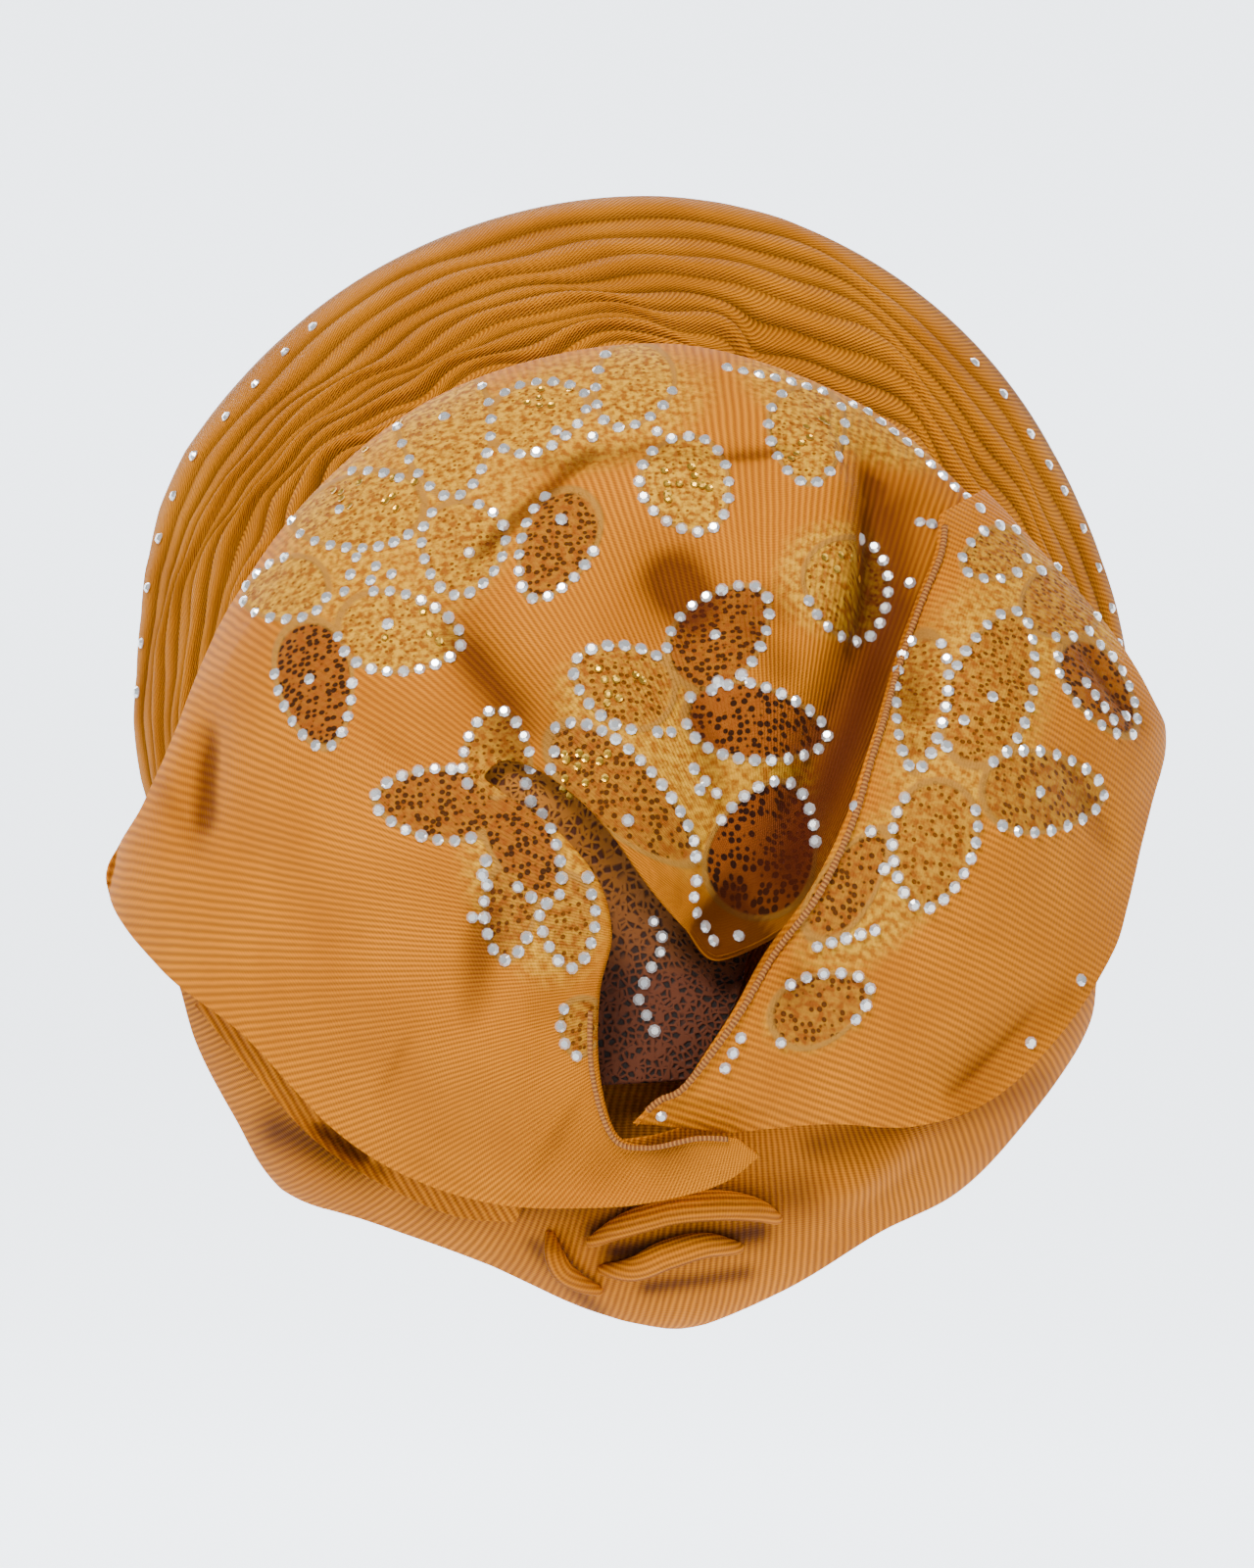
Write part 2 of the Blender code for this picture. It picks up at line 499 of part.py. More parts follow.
def knot_roll(name, rows, sides=6, count=11):
    """A rolled gather: a soft tapering roll along its own line."""
    line = spline([tuple(row) for row in rows], count)
    nape_lift = NAPE_STATIONS[0].lift
    middle = place(*lifted(line[:, 0], line[:, 1], nape_lift + line[:, 2] + line[:, 3], 1.0))
    along = np.gradient(middle, axis=0)
    along /= np.linalg.norm(along, axis=1, keepdims=True)
    out = np.array([0.0, 1.0, 0.0])
    shape = bmesh.new()
    circles = []
    for k in range(count):
        side = np.cross(along[k], out)
        side /= np.linalg.norm(side)
        high = np.cross(side, along[k])
        circle = []
        for s in range(sides):
            turn = 2 * math.pi * s / sides
            offset = side * math.cos(turn) + high * math.sin(turn) * ROLL_FLATNESS
            circle.append(shape.verts.new(middle[k] + offset * line[k, 3] * MM))
        circles.append(circle)
    for first, second in zip(circles, circles[1:]):
        for s in range(sides):
            after = (s + 1) % sides
            shape.faces.new((first[s], first[after], second[after], second[s]))
    shape.faces.new(circles[0])
    shape.faces.new(circles[-1])
    return finish_shape(name, shape, GOLD, 0.7)


for old in list(bpy.data.objects):
    bpy.data.objects.remove(old)

crown_wrap()
halo_front()
halo_back()
wrap("pocket_lining", POCKET_STATIONS, 10, 7, 1, LACE_BROWN)
wrap("nape_wrap", NAPE_STATIONS, 30, 5, 3, GOLD)
wrap("under_wrap", UNDER_STATIONS, 12, 3, 2, GOLD_DEEP)
wrap("main_wrap", MAIN_STATIONS, 50, 9, 2, GOLD)
wrap("right_wrap", RIGHT_STATIONS, 24, 7, 2, GOLD)
for roll_name, roll_rows in KNOT_ROLLS.items():
    knot_roll(roll_name, roll_rows)
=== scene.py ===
"""Tied gele head tie of gold ribbed cloth and lace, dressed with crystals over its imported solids.

The wearer faces -Y, so the camera looks at the back of the head tie along -Y.
Cloth tables give places in millimetres as seen from behind: across (to the right), up, back (+Y).
Lace tables give places in the photograph's pixels, which are cast from the camera onto the cloth.
"""
import json
import math
from collections import namedtuple

import bpy
import numpy as np
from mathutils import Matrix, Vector
from mathutils.bvhtree import BVHTree

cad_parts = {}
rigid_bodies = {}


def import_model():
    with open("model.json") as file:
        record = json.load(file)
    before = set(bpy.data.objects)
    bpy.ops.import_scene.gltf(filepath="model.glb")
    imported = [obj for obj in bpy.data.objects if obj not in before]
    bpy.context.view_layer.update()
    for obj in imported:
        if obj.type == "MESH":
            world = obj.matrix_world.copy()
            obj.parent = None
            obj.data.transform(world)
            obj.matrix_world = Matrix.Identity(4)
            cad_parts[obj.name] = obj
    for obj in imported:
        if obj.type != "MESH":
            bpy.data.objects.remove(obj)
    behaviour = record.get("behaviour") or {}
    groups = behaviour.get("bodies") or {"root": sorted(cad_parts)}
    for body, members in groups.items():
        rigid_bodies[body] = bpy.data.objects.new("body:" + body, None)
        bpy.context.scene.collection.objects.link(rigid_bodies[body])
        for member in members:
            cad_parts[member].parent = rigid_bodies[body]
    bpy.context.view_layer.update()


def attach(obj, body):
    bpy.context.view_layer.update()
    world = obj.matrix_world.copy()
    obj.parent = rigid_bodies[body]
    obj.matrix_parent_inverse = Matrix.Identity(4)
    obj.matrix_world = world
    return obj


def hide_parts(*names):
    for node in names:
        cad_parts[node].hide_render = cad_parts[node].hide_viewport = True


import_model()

MM = 0.001

# Camera: level with the crown of the head, straight behind it.
PHOTO_HEIGHT = 1600
CAMERA_BACK = 1.5
FOCAL_PIXELS = 4658.0
AXIS_X = 648.0
AXIS_Y = 815.0
SENSOR = 36.0
SHIFT_X = -8.0 / PHOTO_HEIGHT
SHIFT_Y = 15.0 / PHOTO_HEIGHT

# Head hollow: the inside of the first turn of cloth.
HEAD_HALF_WIDTH = 78.0
HEAD_HALF_LENGTH = 98.0
HEAD_HALF_HEIGHT = 97.0
HEAD_BACK_SHIFT = -2.0
FOREHEAD_EDGE_UP = -58.0
FOREHEAD_EDGE_BACK = -95.0
EDGE_SLOPE = -0.45
CROWN_SIDES = 96
CROWN_RINGS = 34

# Points in metres inside the head and inside the halo: a cloth's shown side faces away from one.
HEAD_MIDDLE = np.array([0.0, 0.0, -0.04])
HALO_MIDDLE = np.array([0.0, 0.05, 0.05])

# Studio floor in metres: it sweeps up into a wall, and glows from behind.
FLOOR_UP = -0.45
FLOOR_REACH = 4.0
WALL_BACK = -2.4
WALL_TOP = 3.0
SWEEP_RADIUS = 0.8
SWEEP_STEPS = 8

# Tables by angle are smoothed over this many degrees.
ROUND_SOFTENING = 5.0
ARC_SOFTENING = 7.0

# Cloth: one layer, and the doubled cloth of the wraps.
PLEAT_THICK = 1.2
WRAP_THICK = 1.6
CROWN_THICK = 2.0

# Halo: a round fan of pleats, its centre above the crown. A pleat leans inwards, and the part of
# its side that counts as groove is coloured deeper: painted shade.
HALO_CENTRE_UP = 30.0
HALO_RIM_BACK = -70.0
PLEAT_SAMPLES = 9
PLEAT_LEAN = 0.62
PLEAT_FULLNESS = 0.6
GROOVE_SHARE = 0.6
BACK_PLEATS = 14
BACK_PLEAT_HEIGHT = 5.0
BACK_START_ANGLE = -30.0
BACK_END_ANGLE = 205.0
BACK_ANGLES = np.linspace(BACK_START_ANGLE, BACK_END_ANGLE, 330)
BACK_CROWDING = 0.80
BACK_CURVE = 0.9

# S-turn: where the inner pleats turn sharply inwards, how sharply, and how far on that fades.
S_TURN_ANGLE = 74.0
S_TURN_INWARD = 13.0
S_TURN_SHARPNESS = 1.3
S_TURN_FADE = 26.0

# Front of the halo: its pleats, the rim and the forehead edge that they fan out from.
FRONT_PLEATS = 12
FRONT_PLEAT_HEIGHT = 4.0
FRONT_COLUMNS = 240
FRONT_RIM_MIDDLE = 86.0
FRONT_RIM_SWEEP = 112.0
FRONT_RIM_BACK = -76.5
FRONT_BOW = 10.0
FRONT_CURVE = 0.85
FRONT_SEAT = 2.1
FRONT_EDGE_SHARE = 0.97
FRONT_EDGE_SWEEP = 92.0
FRONT_FACE_SWEEP = 1.6

# Back dome: the round form that the wraps lie on.
DOME_PEAK_BACK = 124.0
DOME_TILT = 0.07
DOME_ROUNDNESS = 2.1
DOME_FULLNESS = 0.62

# Wraps: how their rows crowd at the outer edge, the calm edge there without folds, and how far
# round the inner edge is rolled under.
ROW_CROWDING = 1.35
CALM_EDGE_SHARE = 0.12
EDGE_ROLL_TURN = 165.0
MAIN_ROLL_ROWS = 8
RIGHT_ROLL_ROWS = 6

# Hems: sides of their round, and where along the wraps' inner edges they run.
HEM_SIDES = 8
MAIN_HEM_COLUMNS = slice(4, 70)
RIGHT_HEM_COLUMNS = slice(6, -8)

# Knot: how far the ends of its rolls sink into the cloth, the sides and rings of a roll, and how
# flat a roll is.
ROLL_END_SINK = 3.0
ROLL_SIDES = 24
ROLL_RINGS = 70
ROLL_FLATNESS = 0.85

# Weave in mm: the spacing of the ribs, of the cross threads (drawn coarse, to show), of the
# lace's holes and of the hem's stitches.
RIB_PITCH = 2.1
THREAD_PITCH = 0.9
NET_PITCH = 2.2
STITCH_PITCH = 1.3

# Sizes in mm of the patches in each finish: uneven dye, fuzz on the threads, worked lace ground,
# and the uneven shine of stones and sequins.
DYE_PATCH = 35.7
FUZZ_PATCH = 1.11
WORKED_PATCH = 2.38
STONE_PATCH = 3.85
SEQUIN_PATCH = 3.33

# Petals: narrower towards the tip. No petal is marked where the cloth has turned away from behind.
PETAL_TAPER = 0.22
NO_PETAL = -20.0
TURNED_AWAY = 0.22

# Crystals and sequins in mm, the crystals' spacing and least distance in the photograph's pixels.
CRYSTAL_RADIUS = 1.95
CRYSTAL_HEIGHT = 1.4
GIRDLE_SHARE = 0.3
TABLE_SHARE = 0.58
CRYSTAL_SPACING = 17.0
CRYSTAL_CLEARANCE = 10.5
SEQUIN_RADIUS = 1.3
SEQUIN_HEIGHT = 0.5
SEQUIN_THICK = 0.15

# How unevenly stones and sequins are set: their tilt, and their smallest and largest size.
SETTING_TILT = 0.06
SIZE_SPREAD = (0.92, 1.06)

Light = namedtuple("Light", "name x y z size power tint")
Rim = namedtuple("Rim", "angle radius back")
Ring = namedtuple("Ring", "angle rim width inner_back")
Kink = namedtuple("Kink", "angle spread inward start")
Station = namedtuple("Station", "out_a out_u in_a in_u lift puff lip tuck_a tuck_u drop")
Fold = namedtuple("Fold", "a0 u0 a1 u1 width height")
Shade = namedtuple("Shade", "a0 u0 a1 u1 width depth0 depth1")
Roll = namedtuple("Roll", "across up rise radius")
Petal = namedtuple("Petal", "x y reach girth turn first last open")
Ground = namedtuple("Ground", "x y reach girth turn")
Sequins = namedtuple("Sequins", "x y half_x half_y count")

# Square lights, all aimed at the middle: place and size in metres, power in watts.
LIGHTS = [
    Light("key_light", 0.45, 1.4, 1.4, 0.7, 52.0, "#FFF8EC"),
    Light("fill_light", -0.9, 1.6, -0.2, 1.2, 11.0, "#FFF8EC"),
    Light("front_light", 0.3, -1.6, 0.9, 1.2, 26.0, "#FFFFFF"),
]

# Outline of the back dome by angle from the right: its radius, and how far back that edge lies.
DOME_RIM = [
    Rim(0, 166, 30), Rim(8, 172, 30), Rim(17, 163, 33), Rim(30, 150, 38), Rim(45, 145, 42),
    Rim(65, 145, 42), Rim(85, 146, 42), Rim(105, 144, 42), Rim(130, 142, 42), Rim(152, 143, 36),
    Rim(170, 149, 32), Rim(182, 162, 30), Rim(190, 174, 32), Rim(201, 168, 42), Rim(214, 170, 45),
    Rim(228, 177, 42), Rim(240, 166, 54), Rim(253, 161, 66), Rim(273, 174, 72), Rim(290, 168, 66),
    Rim(309, 169, 52), Rim(330, 171, 40), Rim(345, 165, 36),
]

# Back of the halo by angle: rim radius from the halo's centre, width of the ring of pleats.
HALO_RING = [
    Ring(-40, 160, 26, -26), Ring(-20, 170, 38, -8), Ring(0, 171, 56, 14), Ring(25, 168, 68, 26),
    Ring(50, 173, 78, 30), Ring(80, 178, 84, 33), Ring(110, 176, 82, 33), Ring(140, 177, 76, 31),
    Ring(157, 180, 67, 26), Ring(169, 171, 54, 18), Ring(188, 173, 42, 3), Ring(215, 158, 26, -26),
]

# Where a run of pleats turns sharply in or out on its way round.
HALO_KINKS = [
    Kink(104.0, 5.0, 6.0, 0.45), Kink(92.0, 6.0, -3.0, 0.3),
    Kink(124.0, 4.5, 7.0, 0.35), Kink(140.0, 4.5, -6.0, 0.25), Kink(155.0, 4.5, 6.0, 0.3),
    Kink(36.0, 4.5, 4.0, 0.1),
]

# Main wrap, from the tail round the left and over the top.
MAIN_STATIONS = [
    Station(36.0, -106.0, 30.0, -101.0, 8.0, 0.0, 0.0, -0.5, 0.5, 4.0),
    Station(26.0, -113.5, 18.0, -100.5, 8.0, 0.0, 0.0, -0.5, 1.0, 5.0),
    Station(10.0, -118.5, 4.0, -104.0, 5.0, 3.0, 0.0, 0.0, 1.0, 6.0),
    Station(-11.0, -121.0, -6.0, -101.0, 1.0, 7.0, 3.0, 0.0, 1.0, 6.0),
    Station(-38.0, -120.5, -12.0, -82.0, 0.0, 8.0, 5.0, 0.0, 1.0, 6.0),
    Station(-65.0, -113.0, -12.5, -60.0, 0.0, 8.0, 6.0, 1.0, 1.0, 6.0),
    Station(-89.0, -98.5, -9.5, -43.0, 0.0, 8.0, 6.0, 1.0, 1.0, 6.0),
    Station(-117.0, -71.0, -13.5, -26.0, 0.0, 7.0, 5.0, 1.0, 1.0, 6.0),
    Station(-146.0, -53.0, -25.0, -11.0, 0.0, 3.0, 4.0, 1.0, 1.0, 12.0),
    Station(-170.0, -27.0, -34.0, -3.0, 0.0, 0.0, 1.0, 9.0, 5.0, 50.0),
    Station(-157.0, -2.0, -42.0, 3.0, 0.0, 0.0, 0.0, 6.0, 0.0, 62.0),
    Station(-148.0, 18.0, -46.0, 7.0, 0.0, 0.0, 0.0, 3.0, 0.0, 50.0),
    Station(-139.0, 42.0, -40.0, 12.0, 0.0, 0.0, 0.0, 2.0, -2.0, 36.0),
    Station(-127.0, 66.0, -30.0, 9.0, 0.0, 0.0, 1.0, 4.0, -4.0, 26.0),
    Station(-103.0, 97.0, -18.0, 1.0, 0.0, 0.0, 3.0, 5.0, -6.0, 15.0),
    Station(-68.0, 126.0, -7.0, -10.0, 0.0, 0.0, 4.0, 3.0, -7.0, 10.0),
    Station(-27.0, 141.0, 4.0, -25.0, 0.0, 0.0, 3.0, 1.0, -8.0, 10.8),
    Station(13.0, 145.0, 15.0, -38.0, 0.0, 0.0, 1.0, -1.0, -8.0, 10.8),
    Station(48.0, 136.5, 27.0, -49.0, 0.0, 0.0, 0.0, -2.0, -7.5, 10.0),
    Station(79.0, 122.0, 52.0, -34.0, 0.0, 0.0, 0.0, -4.0, -7.0, 10.0),
    Station(105.0, 98.0, 78.0, 18.0, 0.0, 0.0, 0.0, -6.0, -6.0, 13.0),
    Station(119.0, 82.0, 102.0, 58.0, 0.0, 0.0, 0.0, -7.0, -6.0, 16.0),
]

# Right wrap, from the shoulder fold down to the tip that is tucked into the pocket.
RIGHT_STATIONS = [
    Station(110.0, 97.0, 95.0, 88.0, 2.9, 0.0, 2.0, -4.0, -5.0, 18.0),
    Station(127.0, 78.0, 94.0, 76.0, 2.9, 0.0, 2.0, -5.0, -5.0, 34.0),
    Station(149.0, 53.0, 90.0, 64.0, 2.9, 0.0, 2.0, -5.0, -4.0, 56.0),
    Station(163.0, 31.0, 84.0, 46.0, 2.9, 0.0, 2.0, -5.0, -2.0, 62.0),
    Station(168.0, 19.0, 77.0, 28.0, 2.9, 0.0, 2.0, -6.0, -2.0, 60.0),
    Station(163.0, 2.0, 70.0, 10.0, 2.9, 0.0, 2.0, -4.0, -1.0, 56.0),
    Station(158.0, -15.0, 64.0, -8.0, 2.9, 0.0, 3.0, -2.5, 0.0, 48.0),
    Station(152.0, -34.0, 55.0, -27.0, 2.9, 1.0, 4.0, -1.5, 0.0, 30.0),
    Station(145.0, -48.0, 45.0, -43.0, 2.9, 3.0, 4.0, -1.0, 1.0, 8.0),
    Station(128.0, -70.0, 35.0, -58.0, 2.9, 5.0, 3.0, -1.0, 1.0, 7.0),
    Station(106.0, -90.0, 24.0, -74.0, 2.9, 5.0, 2.0, -1.0, 1.0, 6.0),
    Station(82.0, -98.0, 14.0, -87.0, 3.0, 4.0, 0.0, 0.0, 1.0, 6.0),
    Station(57.0, -98.0, 7.0, -91.0, 1.5, 2.0, 0.0, 0.0, 0.0, 5.0),
    Station(28.0, -101.5, 0.0, -98.0, 0.0, 0.0, 0.0, 0.0, 0.0, 4.0),
]

# Under wrap: the turned layer below the main wrap's lower edge.
UNDER_STATIONS = [
    Station(-139.0, -65.0, -128.0, -52.0, -3.2, 1.5, 0.0, 0.0, 0.0, 3.0),
    Station(-122.0, -83.0, -112.0, -68.0, -3.2, 2.0, 0.0, 0.0, 0.0, 3.0),
    Station(-99.0, -106.0, -92.0, -86.0, -3.2, 3.0, 0.0, 0.0, 0.0, 3.0),
    Station(-77.0, -120.0, -70.0, -101.0, -3.2, 3.0, 0.0, 0.0, 0.0, 3.0),
    Station(-55.0, -129.0, -48.0, -110.0, -3.2, 3.0, 0.0, 0.0, 0.0, 3.0),
    Station(-37.0, -131.0, -32.0, -112.0, -3.2, 1.5, 0.0, 0.0, 0.0, 3.0),
]

# Nape wrap: the lowest turn, from ear to ear round the nape.
NAPE_STATIONS = [
    Station(-156.0, -4.0, -140.0, -4.0, -6.4, 0.0, 0.0, 7.0, -6.0, 52.0),
    Station(-162.0, -30.0, -145.0, -24.0, -6.4, 0.0, 0.0, 28.0, -15.0, 80.0),
    Station(-150.0, -58.0, -133.0, -46.0, -6.4, 0.0, 0.0, 39.0, -16.0, 90.0),
    Station(-144.0, -80.0, -121.0, -56.0, -6.4, 0.0, 0.0, 43.0, -12.0, 62.0),
    Station(-132.0, -103.0, -102.0, -72.0, -6.4, 0.0, 0.0, 47.2, 0.0, 51.0),
    Station(-116.0, -129.0, -84.0, -86.0, -6.4, 0.0, 0.0, 32.0, 8.0, 28.0),
    Station(-86.0, -138.0, -62.0, -98.0, -6.4, 0.0, 0.0, 16.0, 3.0, 22.0),
    Station(-50.0, -150.0, -40.0, -104.0, -6.4, 0.0, 0.0, 4.0, 2.0, 14.0),
    Station(-15.0, -165.5, -16.0, -106.0, -6.4, 0.0, 0.0, 0.0, 3.0, 10.0),
    Station(17.0, -171.5, 8.0, -104.0, -6.4, 0.0, 0.0, 0.0, 5.0, 12.0),
    Station(49.0, -159.0, 30.0, -96.0, -6.4, 0.0, 0.0, -4.0, 4.0, 14.0),
    Station(79.5, -140.0, 52.0, -90.0, -6.4, 0.0, 0.0, -12.0, 3.0, 20.0),
    Station(107.0, -128.0, 74.0, -86.0, -6.4, 0.0, 0.0, -22.0, 2.0, 35.0),
    Station(129.0, -105.0, 96.0, -78.0, -6.4, 0.0, 0.0, -44.7, 1.0, 45.0),
    Station(150.0, -76.0, 118.0, -62.0, -6.4, 0.0, 0.0, -52.0, -12.0, 56.0),
    Station(153.0, -57.0, 131.0, -50.0, -6.4, 0.0, 0.0, -42.0, -16.0, 62.0),
    Station(158.0, -30.0, 143.0, -26.0, -6.4, 0.0, 0.0, -27.0, -15.0, 62.0),
    Station(158.0, -8.0, 143.0, -6.0, -6.4, 0.0, 0.0, -13.0, -6.0, 46.0),
]

# Pocket lining: the lace cloth deep inside the pocket between the cowl and the right wrap.
POCKET_STATIONS = [
    Station(-56.0, 24.0, -8.0, 20.0, -2.8, 0.0, 0.0, 0.0, 0.0, 2.0),
    Station(-46.0, -10.0, 20.0, -14.0, -10.0, 0.0, 0.0, 0.0, 0.0, 2.0),
    Station(-38.0, -40.0, 38.0, -36.0, -15.0, 0.0, 0.0, 0.0, 0.0, 2.0),
    Station(-34.0, -66.0, 34.0, -62.0, -15.0, 0.0, 0.0, 0.0, 0.0, 2.0),
    Station(-28.0, -90.0, 18.0, -88.0, -12.0, 0.0, 0.0, 0.0, 0.0, 2.0),
]

# Main folds and dents: a line from one place to another, its half width and its height.
FOLDS = [
    Fold(-2.0, 72.0, 60.0, 52.0, 15.0, -7.0),
    Fold(78.0, 96.0, 84.0, 20.0, 12.0, -9.0),
    Fold(62.0, 118.0, 66.0, 60.0, 12.0, 5.0),
    Fold(-60.0, 56.0, -28.0, 14.0, 12.0, -6.0),
    Fold(-20.0, 62.0, 8.0, -18.0, 15.0, 6.0),
    Fold(-134.0, 26.0, -138.0, -12.0, 8.0, -5.0),
    Fold(-110.0, 60.0, -80.0, -40.0, 30.0, 7.0),
    Fold(-66.0, -70.0, -20.0, -96.0, 22.0, 6.0),
    Fold(118.0, 40.0, 96.0, -40.0, 26.0, 6.0),
    Fold(92.0, -92.0, 132.0, -62.0, 10.0, -4.0),
    Fold(20.0, -30.0, 44.0, -50.0, 14.0, -12.0),
    Fold(-22.0, -148.0, -12.0, -130.0, 7.0, 3.0),
    Fold(60.0, -128.0, 90.0, -104.0, 8.0, 4.0),
    Fold(-104.0, -106.0, -84.0, -116.0, 8.0, -5.0),
]

# A fold keeps about a third of its height at its ends.
FOLD_END_FADING = 0.65

# Small creases of the soft cloth, read as the main folds are.
CREASES = [
    Fold(68.0, 120.0, 78.0, 88.0, 7.0, -4.0),
    Fold(78.0, 96.0, 76.0, 56.0, 8.0, -7.0),
    Fold(76.0, 62.0, 60.0, 20.0, 9.0, -8.0),
    Fold(60.0, 26.0, 44.0, -20.0, 9.0, -8.0),
    Fold(48.0, 100.0, 52.0, 44.0, 9.0, 3.0),
    Fold(30.0, 84.0, 40.0, 20.0, 13.0, 5.0),
    Fold(14.0, 40.0, 34.0, -30.0, 9.0, -3.0),
    Fold(10.0, 80.0, 20.0, 44.0, 12.0, -2.6),
    Fold(-96.0, -34.0, -30.0, -88.0, 14.0, 2.5),
    Fold(-130.0, -10.0, -60.0, -60.0, 10.0, -1.6),
    Fold(-30.0, 104.0, 20.0, 112.0, 4.0, -2.2),
    Fold(22.0, 106.0, 50.0, 108.0, 2.6, -1.8),
    Fold(-52.0, 72.0, -14.0, 108.0, 3.2, -2.4),
    Fold(-46.0, 60.0, -10.0, 100.0, 3.0, 1.6),
    Fold(64.0, 116.0, 66.0, 100.0, 2.2, -2.2),
    Fold(-100.0, 26.0, -74.0, 6.0, 6.0, 1.5),
    Fold(-44.0, -30.0, -52.0, -78.0, 9.0, -3.0),
    Fold(126.0, 20.0, 150.0, -20.0, 7.0, -1.6),
    Fold(138.0, 46.0, 158.0, 22.0, 3.0, -2.2),
]

# Painted shade in the deepest hollows, the cloth's colour deepest there: a line, its half width, its
# depth.
SHADES = {
    "main_wrap_cloth": [
        Shade(70.0, 116.0, 80.0, 90.0, 8.0, 0.1, 0.75),
        Shade(80.0, 90.0, 80.0, 60.0, 12.0, 0.75, 0.9),
        Shade(80.0, 60.0, 66.0, 20.0, 14.0, 0.9, 0.95),
        Shade(66.0, 20.0, 48.0, -20.0, 15.0, 0.95, 0.95),
        Shade(20.0, 74.0, 44.0, 40.0, 7.0, 0.1, 0.45),
        Shade(-52.0, 52.0, -30.0, 22.0, 9.0, 0.3, 0.3),
        Shade(-150.0, 4.0, -136.0, -14.0, 4.0, 0.2, 0.25),
        Shade(-30.0, 104.0, 42.0, 108.0, 3.0, 0.4, 0.2),
        Shade(-6.0, -60.0, 10.0, -104.0, 9.0, 0.3, 0.5),
    ],
    "nape_wrap_cloth": [
        Shade(-112.0, -104.0, -84.0, -112.0, 8.0, 0.8, 0.6),
        Shade(-60.0, -122.0, 50.0, -122.0, 9.0, 0.6, 0.5),
        Shade(-6.0, -139.5, 38.0, -133.5, 4.5, 0.97, 0.9),
        Shade(-12.0, -132.0, 14.0, -118.0, 4.5, 0.9, 0.6),
        Shade(4.0, -151.0, 34.0, -147.0, 3.0, 0.8, 0.7),
        Shade(-31.0, -138.0, -12.0, -160.0, 3.0, 0.6, 0.6),
        Shade(56.0, -106.0, 128.0, -90.0, 6.0, 0.55, 0.3),
    ],
    "right_wrap_cloth": [
        Shade(100.0, -94.0, 134.0, -62.0, 6.0, 0.35, 0.3), Shade(140.0, 44.0, 158.0, 24.0, 5.0, 0.4, 0.3),
    ],
}

# How much painted shade comes from the cloth's bend, and from how low it lies in the folds.
BEND_STEPS = (3, 7)
BEND_SHADE = 1.2
MOST_BEND_SHADE = 0.6
DEEPEST_FOLD = 9.0
LOW_SHADE = 0.45
MOST_LOW_SHADE = 0.4
MOST_SHADE = 0.8

# Rolled gathers of the knot at the nape: the middle line of each roll, its rise off the nape
# wrap and its radius.
KNOT_ROLLS = {
    "knot_roll_upper": [
        Roll(-14.5, -137.0, 1.5, 3.0), Roll(-3.0, -131.0, 1.0, 4.2), Roll(12.0, -125.5, 0.8, 4.6),
        Roll(26.0, -124.5, 0.8, 4.6), Roll(38.0, -127.0, 0.8, 4.0), Roll(46.0, -132.0, 1.0, 2.8),
    ],
    "knot_roll_lower": [
        Roll(-12.0, -148.0, 0.7, 2.8), Roll(-1.0, -146.0, 0.3, 4.0), Roll(10.0, -140.5, 0.3, 4.4),
        Roll(22.0, -138.0, 0.3, 4.2), Roll(34.0, -141.0, 0.5, 3.2),
    ],
    "knot_roll_side": [
        Roll(-28.0, -136.5, 0.6, 2.4), Roll(-25.0, -142.0, 0.6, 3.2), Roll(-20.0, -149.0, 0.8, 3.2),
        Roll(-12.0, -156.0, 1.2, 2.6),
    ],
}
